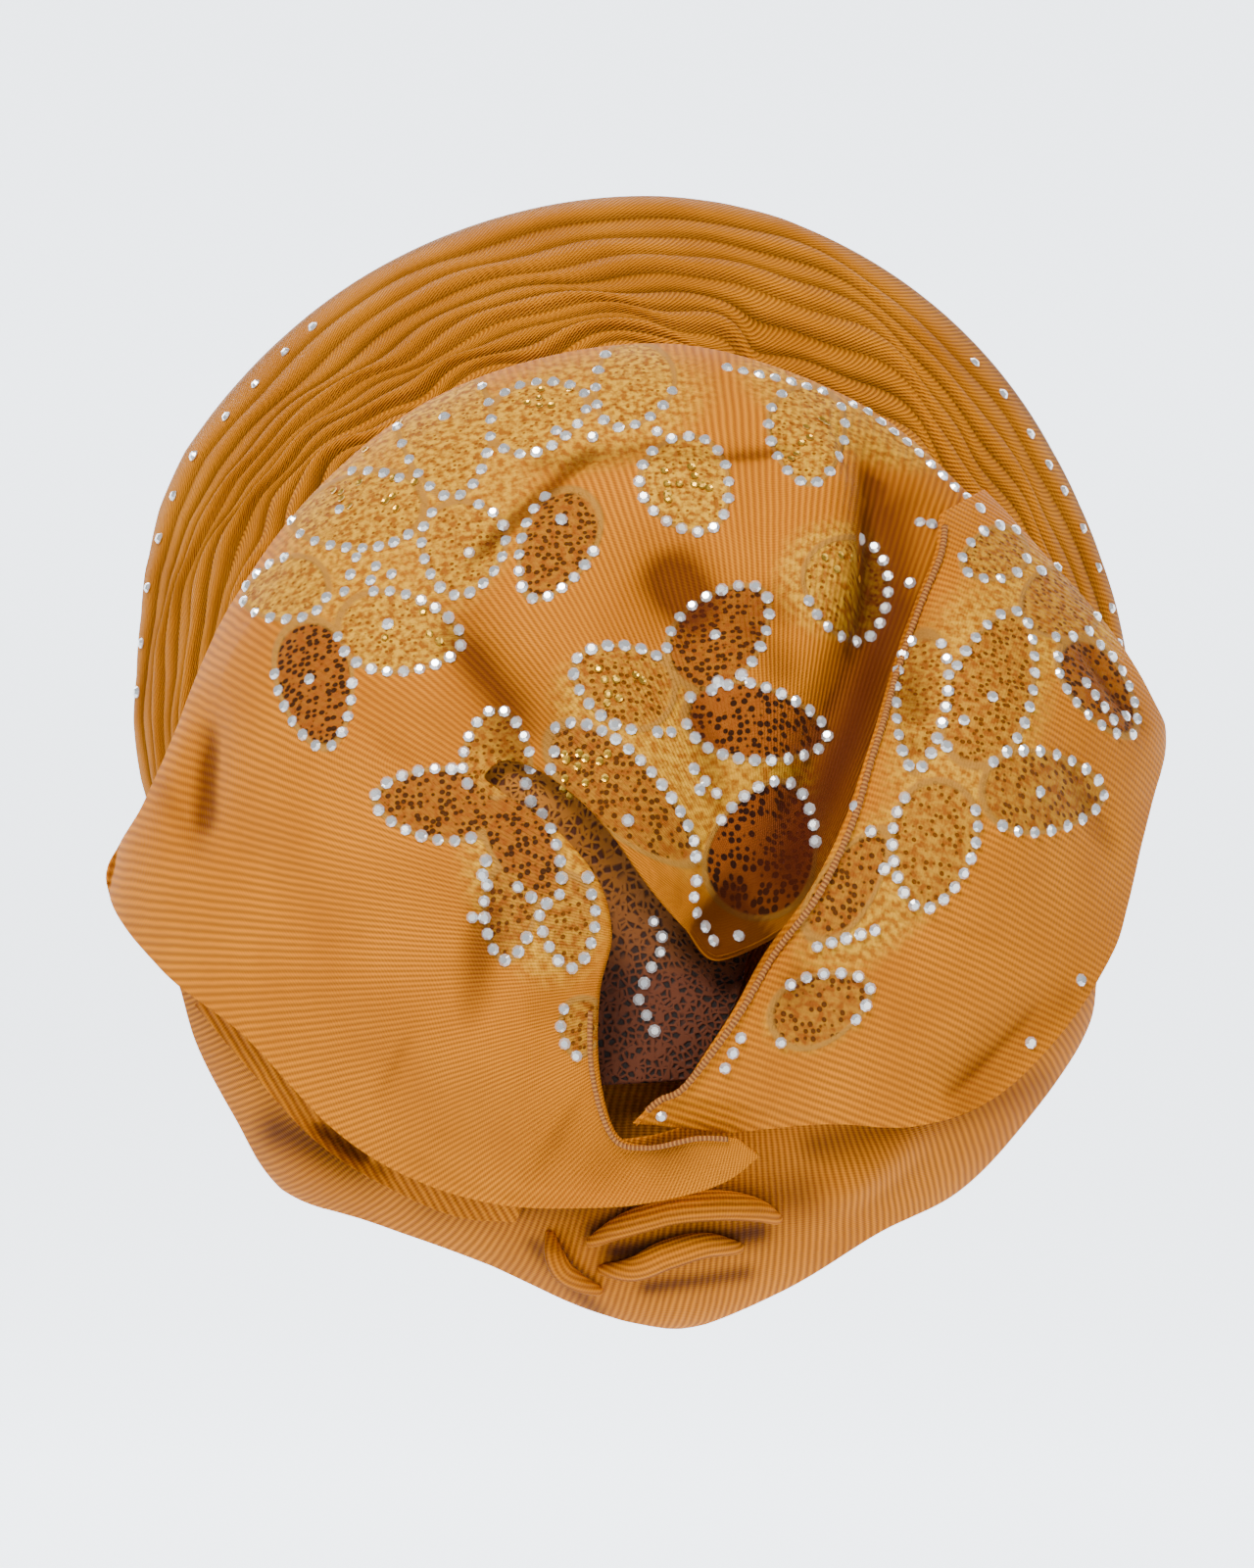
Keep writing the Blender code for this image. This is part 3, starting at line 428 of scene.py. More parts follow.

# Lace petals in the photograph's pixels: middle, half length, half width, and the way the tip
# points in degrees clockwise from the right. Crystals edge the petal from the first to the last
# angle round from its tip, and open says how dark its net and holes are: partly the net's own
# darkness, partly painted shade where the petal lies in shadow.
PETALS = [
    Petal(455, 440, 68, 47, 82, -125, 130, 0.05), Petal(472, 560, 48, 42, 100, -170, 170, 0.20),
    Petal(366, 522, 68, 38, 170, -170, 30, 0.10), Petal(292, 602, 44, 31, 165, -150, 100, 0.10),
    Petal(408, 646, 64, 40, 8, -120, 165, 0.10), Petal(322, 698, 66, 38, 80, -100, 105, 0.90),
    Petal(550, 424, 52, 34, -20, -140, 150, 0.05), Petal(645, 394, 46, 38, 120, -110, 130, 0.05),
    Petal(568, 556, 60, 36, 116, -100, 130, 0.75), Petal(702, 496, 50, 44, 60, -150, 165, 0.05),
    Petal(824, 444, 50, 38, 85, -120, 150, 0.10), Petal(866, 602, 54, 42, 75, -150, 90, 0.20),
    Petal(736, 648, 62, 42, -47, -140, 140, 0.85), Petal(636, 698, 54, 40, 205, -120, 110, 0.50),
    Petal(772, 738, 74, 38, 12, -165, 160, 0.95), Petal(636, 812, 98, 38, 43, -175, -10, 0.70),
    Petal(780, 866, 72, 54, -70, -80, 70, 1.00), Petal(507, 770, 46, 34, 270, -130, 130, 0.45),
    Petal(444, 820, 62, 36, 185, -130, 120, 0.80), Petal(536, 866, 62, 32, 62, -130, 60, 0.85),
    Petal(520, 930, 50, 26, 95, -60, 120, 0.60), Petal(580, 940, 48, 28, 85, -100, 100, 0.45),
    Petal(594, 1048, 30, 22, 100, 0, 120, 0.50), Petal(1064, 808, 62, 41, 2, -110, 130, 0.55),
    Petal(952, 862, 66, 42, 100, -130, 130, 0.45), Petal(940, 716, 70, 26, 95, -150, 150, 0.30),
    Petal(1012, 702, 82, 42, -72, -150, 150, 0.50), Petal(1014, 566, 34, 26, 160, -150, 150, 0.35),
    Petal(1082, 618, 40, 34, 30, -150, 150, 0.45), Petal(1122, 702, 58, 28, 55, -150, 150, 0.85),
    Petal(866, 902, 66, 28, -56, -30, 60, 0.70), Petal(838, 1028, 54, 34, -25, -110, 60, 0.65),
]

# Lace ground between the petals, yellower than the ribbed cloth.
GROUNDS = [
    Ground(420, 520, 170, 110, -45), Ground(600, 420, 130, 62, -12), Ground(860, 420, 120, 40, 25),
    Ground(640, 740, 90, 60, 40), Ground(740, 800, 130, 90, 60), Ground(545, 900, 110, 70, 70),
    Ground(990, 720, 150, 80, -70), Ground(1080, 620, 80, 70, 45), Ground(900, 900, 120, 60, -50),
    Ground(835, 1030, 60, 40, -30), Ground(850, 590, 60, 60, 0),
]

# Lines of crystals between the petals, in the photograph's pixels.
TRAILS = [
    [(742, 376), (802, 389), (845, 402), (885, 421), (929, 455), (976, 500), (1026, 540)],
    [(360, 481), (385, 481), (408, 488)],
    [(364, 569), (352, 604)], [(384, 578), (374, 605), (400, 586)], [(568, 440), (605, 446)],
    [(656, 433), (700, 455)], [(496, 878), (482, 936)], [(713, 882), (707, 925), (728, 960)],
    [(754, 955), (766, 973)], [(743, 822), (704, 780), (714, 806)], [(893, 949), (834, 966)],
    [(756, 1059), (740, 1090)], [(566, 767), (562, 785)], [(600, 895), (608, 930)],
    [(667, 940), (679, 962), (660, 996), (652, 1020), (668, 1052)],
    [(939, 533), (951, 535)], [(1108, 697), (1145, 747)], [(1147, 687), (1148, 731)],
]

# Single crystals, most of them in the middle of a petal.
SINGLES = [
    (396, 637), (454, 426), (347, 520), (479, 564), (573, 530), (730, 648), (1061, 808), (1013, 711),
    (984, 735), (797, 1064), (675, 1139), (665, 1126), (641, 837), (531, 895), (316, 693),
    (907, 579), (929, 595), (834, 836), (831, 858), (873, 823), (671, 747), (685, 747), (978, 660),
    (1052, 1064), (1103, 1000),
]

# Gold sequins scattered inside some petals: middle, half width and half height, and how many.
SEQUINS = [
    Sequins(700, 494, 26, 18, 10), Sequins(824, 448, 20, 26, 7), Sequins(860, 582, 20, 22, 6),
    Sequins(600, 790, 26, 22, 12), Sequins(632, 700, 26, 18, 8), Sequins(380, 505, 44, 18, 12),
    Sequins(400, 445, 30, 20, 6), Sequins(560, 410, 26, 16, 6), Sequins(420, 640, 30, 18, 5),
]

# Crystals on the halo that show along its outline: angle round the rim in degrees, and the row
# of the halo's grid that carries them.
RIM_CRYSTALS = [8, 12, 17, 22, 27, 31, 35, 41, 46, 130, 134, 139, 144, 150, 155, 160, 166, 172, 178]
RIM_CRYSTAL_ROW = 6


def spline(rows, count):
    """Points of a smooth curve through rows, evenly spread over the rows' numbers."""
    data = np.array(rows, dtype=float)
    padded = np.vstack([2 * data[0] - data[1], data, 2 * data[-1] - data[-2]])
    places = np.linspace(0, len(data) - 1, count)
    spans = np.minimum(places.astype(int), len(data) - 2)
    t = (places - spans)[:, None]
    p0, p1, p2, p3 = (padded[spans + k] for k in range(4))
    return 0.5 * (2 * p1 + (p2 - p0) * t + (2 * p0 - 5 * p1 + 4 * p2 - p3) * t ** 2
                  + (3 * p1 - p0 - 3 * p2 + p3) * t ** 3)


def read_round(rows, column, angle):
    """A value from a table that goes once round, at any angle in degrees."""
    angles = np.array([row.angle for row in rows], dtype=float)
    values = np.array([getattr(row, column) for row in rows], dtype=float)
    angles = np.concatenate([angles[-3:] - 360, angles, angles[:3] + 360])
    values = np.concatenate([values[-3:], values, values[:3]])
    steps = (-ROUND_SOFTENING, 0, ROUND_SOFTENING)
    samples = [np.interp(np.mod(angle, 360) + step, angles, values) for step in steps]
    return (samples[0] + 2 * samples[1] + samples[2]) / 4


def read_arc(rows, column, angle):
    """A value from a table over part of a turn, smoothed a little."""
    angles = [row.angle for row in rows]
    values = [getattr(row, column) for row in rows]
    steps = (-ARC_SOFTENING, 0.0, ARC_SOFTENING)
    return sum(np.interp(angle + step, angles, values) for step in steps) / 3


def beside_line(row, across, up):
    """How far along a row's line a place lies, from 0 to 1, and how far beside the line."""
    run_a = row.a1 - row.a0
    run_u = row.u1 - row.u0
    along = ((across - row.a0) * run_a + (up - row.u0) * run_u) / (run_a ** 2 + run_u ** 2)
    along = np.clip(along, 0, 1)
    return along, np.hypot(across - row.a0 - along * run_a, up - row.u0 - along * run_u)


def fold_height(across, up):
    """The sum of the folds, dents and creases at a place seen from behind."""
    total = np.zeros_like(across)
    for fold in FOLDS + CREASES:
        along, away = beside_line(fold, across, up)
        fading = 1 - FOLD_END_FADING * np.abs(2 * along - 1) ** 2.5
        total += fold.height * fading * np.exp(-(away / fold.width) ** 2)
    return total


def dome_back(across, up):
    """How far back the dome lies at a place seen from behind."""
    angle = np.degrees(np.arctan2(up, across))
    rim = read_round(DOME_RIM, "radius", angle)
    edge = read_round(DOME_RIM, "back", angle)
    part = np.clip(np.hypot(across, up) / rim, 0, 1)
    height = (1 - part ** DOME_ROUNDNESS) ** DOME_FULLNESS
    return edge + (DOME_PEAK_BACK - edge - DOME_TILT * up) * height


def lifted(across, up, lift, fold_share):
    """Places on the dome with its folds, moved out along the dome's own normal by lift."""
    step = 1.5
    back = dome_back(across, up)
    slope_a = (dome_back(across + step, up) - dome_back(across - step, up)) / (2 * step)
    slope_u = (dome_back(across, up + step) - dome_back(across, up - step)) / (2 * step)
    size = np.sqrt(1 + slope_a ** 2 + slope_u ** 2)
    full = lift + fold_share * fold_height(across, up)
    return across - slope_a / size * full, up - slope_u / size * full, back + full / size


def place(across, up, back):
    """Points in metres from places seen from behind in millimetres."""
    return np.stack([-across, back, up], axis=-1) * MM


def photo_pixel(points):
    """Where points in metres show in the photograph, in its pixels."""
    scale = FOCAL_PIXELS / (CAMERA_BACK - points[..., 1])
    return AXIS_X - points[..., 0] * scale, AXIS_Y - points[..., 2] * scale


def unit(vectors):
    """Vectors of length one."""
    return vectors / np.maximum(np.linalg.norm(vectors, axis=-1, keepdims=True), 1e-12)


def run_length(points, axis):
    """Length walked along one axis of a grid of points, in metres."""
    steps = np.linalg.norm(np.diff(points, axis=axis), axis=2)
    start = np.zeros_like(np.take(steps, [0], axis=axis))
    return np.concatenate([start, np.cumsum(steps, axis=axis)], axis=axis)


def walked_map(points):
    """Flat coordinates of cloth from the length walked along both ways of its grid."""
    return np.stack([run_length(points, 1), run_length(points, 0)], axis=-1)


def sheet_from_grid(name, points, thick, maps, marks, material, hollow_side):
    """A cloth piece from a grid of places, given its thickness away from its shown side.

    maps are its flat coordinates in metres, marks its own values for the lace and the painted shade.
    """
    along = np.gradient(points, axis=0)
    over = np.gradient(points, axis=1)
    if np.sum(np.cross(over, along) * (points - hollow_side)) < 0:
        points = points[:, ::-1]
        maps = {key: value[:, ::-1] for key, value in maps.items()}
        marks = {key: value[:, ::-1] for key, value in marks.items()}
    rows, columns = points.shape[:2]
    bpy.ops.mesh.primitive_grid_add(x_subdivisions=columns - 1, y_subdivisions=rows - 1)
    piece = bpy.context.object
    piece.name = name
    mesh = piece.data
    mesh.name = name
    mesh.vertices.foreach_set("co", points.reshape(-1))
    corners = np.zeros(len(mesh.loops), dtype=int)
    mesh.loops.foreach_get("vertex_index", corners)
    mesh.uv_layers.remove(mesh.uv_layers[0])
    for key, value in maps.items():
        layer = mesh.uv_layers.new(name=key)
        layer.uv.foreach_set("vector", value.reshape(-1, 2)[corners].reshape(-1))
    for key, value in marks.items():
        mark = mesh.attributes.new(key, "FLOAT", "POINT")
        mark.data.foreach_set("value", value.reshape(-1).astype(np.float32))
    mesh.update()
    mesh.shade_smooth()
    mesh.materials.append(material)
    wall = piece.modifiers.new("thickness", "SOLIDIFY")
    wall.thickness = thick * MM
    wall.offset = -1.0
    bpy.ops.object.modifier_apply(modifier=wall.name)
    piece.select_set(False)
    return piece


def turned_pixels(row, x, y):
    """Pixels along and across a petal or a lace ground, from its middle."""
    turn = math.radians(row.turn)
    along = (x - row.x) * math.cos(turn) + (y - row.y) * math.sin(turn)
    return along, -(x - row.x) * math.sin(turn) + (y - row.y) * math.cos(turn)


def lace_marks(points):
    """Signed distance in mm to the nearest petal's edge, its net's darkness and painted shade, the
    ground.
    """
    x, y = photo_pixel(points)
    size = (CAMERA_BACK - points[..., 1]) / FOCAL_PIXELS / MM
    petal = np.full(x.shape, NO_PETAL)
    net_and_shade_darkness = np.zeros(x.shape)
    for row in PETALS:
        along, aside = turned_pixels(row, x, y)
        far = along / row.reach
        wide = row.girth * (1 - PETAL_TAPER * np.clip(far, -1, 1))
        inside = (1 - np.hypot(far, aside / wide)) * row.girth * size
        net_and_shade_darkness = np.where(inside > petal, row.open, net_and_shade_darkness)
        petal = np.maximum(petal, inside)
    ground = np.zeros(x.shape)
    for row in GROUNDS:
        along, aside = turned_pixels(row, x, y)
        part = np.hypot(along / row.reach, aside / row.girth)
        ground = np.maximum(ground, np.clip((1.1 - part) / 0.35, 0, 1))
    normals = unit(np.cross(np.gradient(points, axis=0), np.gradient(points, axis=1)))
    seen = np.abs(normals[..., 1])
    petal = np.where(seen > TURNED_AWAY, petal, NO_PETAL)
    return petal, net_and_shade_darkness, ground * np.clip((seen - 0.2) / 0.2, 0, 1)


def fan_map(points, middle_a, middle_u, radius, run):
    """Flat coordinates of cloth gathered to one place: ribs fan out from it."""
    across = -points[..., 0] / MM - middle_a
    up = points[..., 2] / MM - middle_u
    turn = np.unwrap(np.unwrap(np.arctan2(up, across), axis=1), axis=0)
    return np.stack([turn * radius * MM, run], axis=-1)


def flat_map(points, turn):
    """Flat coordinates of cloth that lies across the dome, its ribs turned by an angle."""
    across = -points[..., 0]
    up = points[..., 2] - 0.35 * points[..., 1]
    c, s = math.cos(math.radians(turn)), math.sin(math.radians(turn))
    return np.stack([across * c + up * s, -across * s + up * c], axis=-1)


def turn_map(points, turn):
    """Flat coordinates of cloth that goes round the nape, its ribs turned by an angle."""
    along = np.broadcast_to(run_length(points, 1).mean(axis=0), points.shape[:2])
    over = run_length(points, 0)
    c, s = math.cos(math.radians(turn)), math.sin(math.radians(turn))
    return np.stack([along * c + over * s, -along * s + over * c], axis=-1)


def net_map(points):
    """Flat coordinates of the lace, as seen from behind."""
    return np.stack([-points[..., 0], points[..., 2] - 0.6 * points[..., 1]], axis=-1)


def wrap_grid(stations, columns, rows, skirt_rows, roll_rows):
    """A turn of cloth over the dome: inner edge rolled under, outer edge running on to a skirt."""
    curve = spline([tuple(row) for row in stations], columns)
    out_a, out_u, in_a, in_u, lift, puff, lip, tuck_a, tuck_u, drop = curve.T
    step = 1 - (1 - np.linspace(0, 1, rows)[:, None]) ** ROW_CROWDING
    height = lift + puff * step ** 3 + lip * (1 - step) ** 4
    across = in_a + (out_a - in_a) * step
    up = in_u + (out_u - in_u) * step
    calm = np.clip((1 - step) / CALM_EDGE_SHARE, 0, 1)
    face = place(*lifted(across, up, height, calm))
    below = place(*lifted(across[:1], up[:1], height[:1] - 1.0, calm[:1]))[0]
    grid = list(face)
    inward = unit(face[0] - face[1])
    outward = unit(face[0] - below)
    radius = (0.6 + 0.5 * np.maximum(lip, 0))[:, None] * MM
    for k in range(1, roll_rows + 1):
        turn = math.radians(EDGE_ROLL_TURN) * k / roll_rows
        grid.insert(0, face[0] + inward * radius * math.sin(turn)
                    - outward * radius * (1 - math.cos(turn)))
    edge = face[-1]
    for k in range(1, skirt_rows + 1):
        turn = k / skirt_rows * math.pi / 2
        tuck = 1 - math.cos(turn)
        grid.append(edge + place(tuck_a * tuck, tuck_u * tuck, -drop * math.sin(turn)))
    return np.array(grid)


def pleat_profile(phase):
    """Height of a pleat from 0 to 1, leaning inwards, and painted shade by how deep in its groove a place
    is.
    """
    within = phase - np.floor(phase)
    side = np.where(within < PLEAT_LEAN, within / PLEAT_LEAN, (1 - within) / (1 - PLEAT_LEAN))
    return np.sin(side * math.pi / 2) ** PLEAT_FULLNESS, np.clip(1 - side / GROOVE_SHARE, 0, 1)


def halo_back_grid():
    """The back of the halo: rounded pleats that step from the rim in to the wraps."""
    angles = BACK_ANGLES
    phase = np.linspace(0, BACK_PLEATS, BACK_PLEATS * PLEAT_SAMPLES + 1)[:, None]
    share = phase / BACK_PLEATS
    turn = np.radians(angles)[None, :]
    wander = (0.42 * np.sin(3 * turn + 0.5 * phase) + 0.34 * np.sin(7 * turn + 0.4 * phase + 2)
              + 0.20 * np.sin(13 * turn + 0.9 * phase + 1) + 0.12 * np.sin(23 * turn + 1.7 * phase))
    part = share ** BACK_CROWDING + wander / BACK_PLEATS * np.sin(share * math.pi) ** 0.5
    rim = read_arc(HALO_RING, "rim", angles)
    width = read_arc(HALO_RING, "width", angles)
    radius = rim - width * part
    for kink in HALO_KINKS:
        reach = np.clip((part - kink.start) / (1 - kink.start), 0, 1)
        radius = radius - kink.inward * reach * np.exp(-((angles - kink.angle) / kink.spread) ** 2)
    reach = np.clip((part - 0.25) / 0.4, 0, 1)
    before = S_TURN_ANGLE - angles
    past = 1 / (1 + np.exp(-before / S_TURN_SHARPNESS)) * np.exp(-before / S_TURN_FADE)
    past = np.where(before > -10, past, 0)
    radius = radius - S_TURN_INWARD * reach * reach * (3 - 2 * reach) * past
    inner_back = read_arc(HALO_RING, "inner_back", angles)
    back = HALO_RIM_BACK + (inner_back - HALO_RIM_BACK) * np.clip(part, 0, 1) ** BACK_CURVE
    across = radius * np.cos(turn)
    up = HALO_CENTRE_UP + radius * np.sin(turn)
    smooth = place(across, up, back)
    normals = unit(np.cross(np.gradient(smooth, axis=0), np.gradient(smooth, axis=1)))
    if np.sum(normals[..., 1]) < 0:
        normals = -normals
    rounded, groove_shade = pleat_profile(phase)
    depth = BACK_PLEAT_HEIGHT * (0.45 + 0.55 * np.clip(share * 1.6, 0, 1))
    depth = depth * (0.75 + 0.25 * np.sin(5 * turn + 2.3 * np.floor(phase)))
    grid = smooth + normals * (depth * rounded)[..., None] * MM
    # Painted shade in the grooves: stronger towards the inner pleats, uneven round the halo.
    groove_shade = groove_shade * (0.6 + 0.4 * share) * (0.8 + 0.2 * np.sin(4 * turn + 1.7 * np.floor(phase)))
    return grid, groove_shade


def forehead_edge(turns):
    """The face opening's edge, just outside the first turn, from one ear to the other."""
    rows = []
    for turn in turns:
        around = math.radians(270.0 - turn * FRONT_EDGE_SWEEP)
        point = crown_point(around, edge_drop(around) * FRONT_EDGE_SHARE, CROWN_THICK)
        facing = turn * FRONT_FACE_SWEEP
        rows.append((-point[0] + FRONT_SEAT * math.sin(facing), point[2],
                     point[1] - FRONT_SEAT * math.cos(facing)))
    return np.array(rows).T


def crown_point(turn, drop, thick):
    """A point of the first turn: turn goes round from the wearer's left, drop down from the crown."""
    ring = math.sin(drop)
    return np.array([(HEAD_HALF_WIDTH + thick) * ring * math.cos(turn),
                     HEAD_BACK_SHIFT + (HEAD_HALF_LENGTH + thick) * ring * math.sin(turn),
                     (HEAD_HALF_HEIGHT + thick) * math.cos(drop) - HEAD_HALF_HEIGHT])


def edge_drop(turn):
    """The angle down from the crown at which the first turn's slanting lower edge lies."""
    low, high = 0.2, 2.9
    for _ in range(40):
        middle = (low + high) / 2
        back = HEAD_BACK_SHIFT + HEAD_HALF_LENGTH * math.sin(middle) * math.sin(turn)
        up = HEAD_HALF_HEIGHT * (math.cos(middle) - 1)
        if up > FOREHEAD_EDGE_UP + EDGE_SLOPE * (back - FOREHEAD_EDGE_BACK):
            low = middle
        else:
            high = middle
    return low


def crown_grid():
    """The first turn of cloth, in rings from the crown down to its slanting edge."""
    turns = np.linspace(0, 2 * math.pi, CROWN_SIDES + 1)
    turns[-1] = turns[0]
    drops = [edge_drop(turn) for turn in turns]
    return np.array([[crown_point(turn, drop * ring / CROWN_RINGS, CROWN_THICK) * MM
                      for turn, drop in zip(turns, drops)]
                     for ring in range(1, CROWN_RINGS + 1)])


def halo_front_grid():
    """The front of the halo: pleats that fan out from the forehead to the rim."""
    turns = np.linspace(-1, 1, FRONT_COLUMNS)
    angles = FRONT_RIM_MIDDLE - turns * FRONT_RIM_SWEEP
    rim = read_arc(HALO_RING, "rim", angles) - 1.0
    edge_across, edge_up, edge_back = forehead_edge(turns)
    phase = np.linspace(0, FRONT_PLEATS, FRONT_PLEATS * PLEAT_SAMPLES + 1)[:, None]
    share = phase / FRONT_PLEATS
    wander = 0.25 * np.sin(4 * turns + 1.3 * phase) + 0.15 * np.sin(11 * turns + 0.8 * phase + 1)
    part = share + wander / FRONT_PLEATS * np.sin(share * math.pi) ** 0.5
    part = np.clip(part, 0, 1)
    bow = FRONT_BOW * np.sin(part * math.pi)
    rim_across = rim * np.cos(np.radians(angles))
    rim_up = HALO_CENTRE_UP + rim * np.sin(np.radians(angles))
    across = edge_across + (rim_across - edge_across) * part
    up = edge_up + (rim_up - edge_up) * part
    back = edge_back + (FRONT_RIM_BACK - edge_back) * part ** FRONT_CURVE - bow
    smooth = place(across, up, back)
    normals = unit(np.cross(np.gradient(smooth, axis=0), np.gradient(smooth, axis=1)))
    if np.sum(normals[..., 1]) > 0:
        normals = -normals
    rounded, groove_shade = pleat_profile(phase)
    grid = smooth + normals * (FRONT_PLEAT_HEIGHT * rounded)[..., None] * MM
    return grid, np.broadcast_to(groove_shade, part.shape)


def tube(name, line, radius, sides, material, squash=1.0):
    """A closed roll or cord along a line of points, with a radius for each point, in metres."""
    along = unit(np.gradient(line, axis=0))
    side = unit(np.cross(along, [0.0, 1.0, 0.0]))
    high = np.cross(side, along)
    turns = np.linspace(0, 2 * math.pi, sides, endpoint=False)
    rings = (line[:, None] + side[:, None] * np.cos(turns)[None, :, None] * radius[:, None, None]
             + high[:, None] * np.sin(turns)[None, :, None] * radius[:, None, None] * squash)
    count = len(line)
    points = np.vstack([rings.reshape(-1, 3), line[:1], line[-1:]])
    faces = []
    for k in range(count - 1):
        for s in range(sides):
            after = (s + 1) % sides
            faces.append((k * sides + s, k * sides + after,
                          (k + 1) * sides + after, (k + 1) * sides + s))
    for s in range(sides):
        after = (s + 1) % sides
        faces.append((count * sides, s, after)[::-1])
        faces.append((count * sides + 1, (count - 1) * sides + s, (count - 1) * sides + after))
    mesh = bpy.data.meshes.new(name)
    mesh.from_pydata(points.tolist(), [], faces)
    run = np.concatenate([[0], np.cumsum(np.linalg.norm(np.diff(line, axis=0), axis=1))])
    flat = np.zeros((len(points), 2))
    flat[:-2, 0] = np.tile(np.minimum(turns, 2 * math.pi - turns), count) * np.repeat(radius, sides)
    flat[:-2, 1] = np.repeat(run, sides)
    flat[-1, 1] = run[-1]
    layer = mesh.uv_layers.new(name="cloth")
    corners = np.zeros(len(mesh.loops), dtype=int)
    mesh.loops.foreach_get("vertex_index", corners)
    layer.uv.foreach_set("vector", flat[corners].reshape(-1))
    mesh.shade_smooth()
    mesh.materials.append(material)
    piece = bpy.data.objects.new(name, mesh)
    bpy.context.collection.objects.link(piece)
    facing_out(piece)
    return piece


def stitched_hem(name, line, radius, thread):
    """An overlocked hem along a cloth's edge."""
    hem = tube(name, line, radius, HEM_SIDES, thread)
    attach(hem, "root")
    return hem


def knot_roll(name, rows, cloth):
    """One rolled gather of the knot, its ends tapered and sunk into the nape wrap."""
    across, up, rise, size = spline([tuple(row) for row in rows], ROLL_RINGS).T
    fullness = np.sin(np.linspace(0, math.pi, ROLL_RINGS)) ** 0.6
    height = NAPE_STATIONS[0].lift + rise + size - ROLL_END_SINK * (1 - fullness)
    middle = place(*lifted(across, up, height, 1.0))
    radius = size * (0.5 + 0.55 * fullness) * MM
    roll = tube(name, middle, radius, ROLL_SIDES, cloth, ROLL_FLATNESS)
    shade_flank(roll, ROLL_SIDES)
    return roll


def shade_flank(roll, sides):
    """Paint shade on the lower flank of a knot's roll through its fold mark, and none on its top and
    face.
    """
    turns = np.linspace(0, 2 * math.pi, sides, endpoint=False)
    # Painted shade: darkest below, none where the roll faces up or out.
    flank_shade = np.clip(0.45 + 0.5 * np.cos(turns) - 1.1 * np.sin(turns), 0, 0.95)
    mark = roll.data.attributes.new("fold", "FLOAT", "POINT")
    values = np.zeros(len(roll.data.vertices), dtype=np.float32)
    values[:-2] = np.tile(flank_shade, len(values[:-2]) // sides)
    mark.data.foreach_set("value", values)


def facing_out(piece):
    """Turn every face of a closed piece outwards."""
    bpy.ops.object.select_all(action="DESELECT")
    bpy.context.view_layer.objects.active = piece
    piece.select_set(True)
    bpy.ops.object.mode_set(mode="EDIT")
    bpy.ops.mesh.select_all(action="SELECT")
    bpy.ops.mesh.normals_make_consistent(inside=False)
    bpy.ops.object.mode_set(mode="OBJECT")
    piece.select_set(False)


def linear(colour):
    """Linear red, green, blue and alpha from an sRGB hex colour."""
    values = [int(colour[k:k + 2], 16) / 255 for k in (1, 3, 5)]
    bent = [v / 12.92 if v <= 0.04045 else ((v + 0.055) / 1.055) ** 2.4 for v in values]
    return (*bent, 1.0)


def node(tree, kind, settings, inputs):
    """Add a node with its settings; each input is a value, or a socket to link from."""
    made = tree.nodes.new(kind)
    for key, value in settings.items():
        setattr(made, key, value)
    for key, value in inputs.items():
        if isinstance(value, bpy.types.NodeSocket):
            tree.links.new(value, made.inputs[key])
        else:
            made.inputs[key].default_value = value
    return made


def new_material(name):
    """A material with its node tree and its shader."""
    material = bpy.data.materials.new(name)
    material.use_nodes = True
    return material, material.node_tree, material.node_tree.nodes["Principled BSDF"]


def mixed(tree, share, low, high):
    """Two colours mixed by a share from 0 to 1."""
    made = node(tree, "ShaderNodeMix", {"data_type": "RGBA"}, {"Factor": share, "A": low, "B": high})
    return made.outputs[2]


def band_scale(pitch):
    """The Wave node's scale for bands that repeat every pitch millimetres."""
    return 2 * math.pi / 20 / (pitch * MM)


def patch_scale(size):
    """The scale of a noise or a net whose patches are about size millimetres across."""
    return 1 / (size * MM)


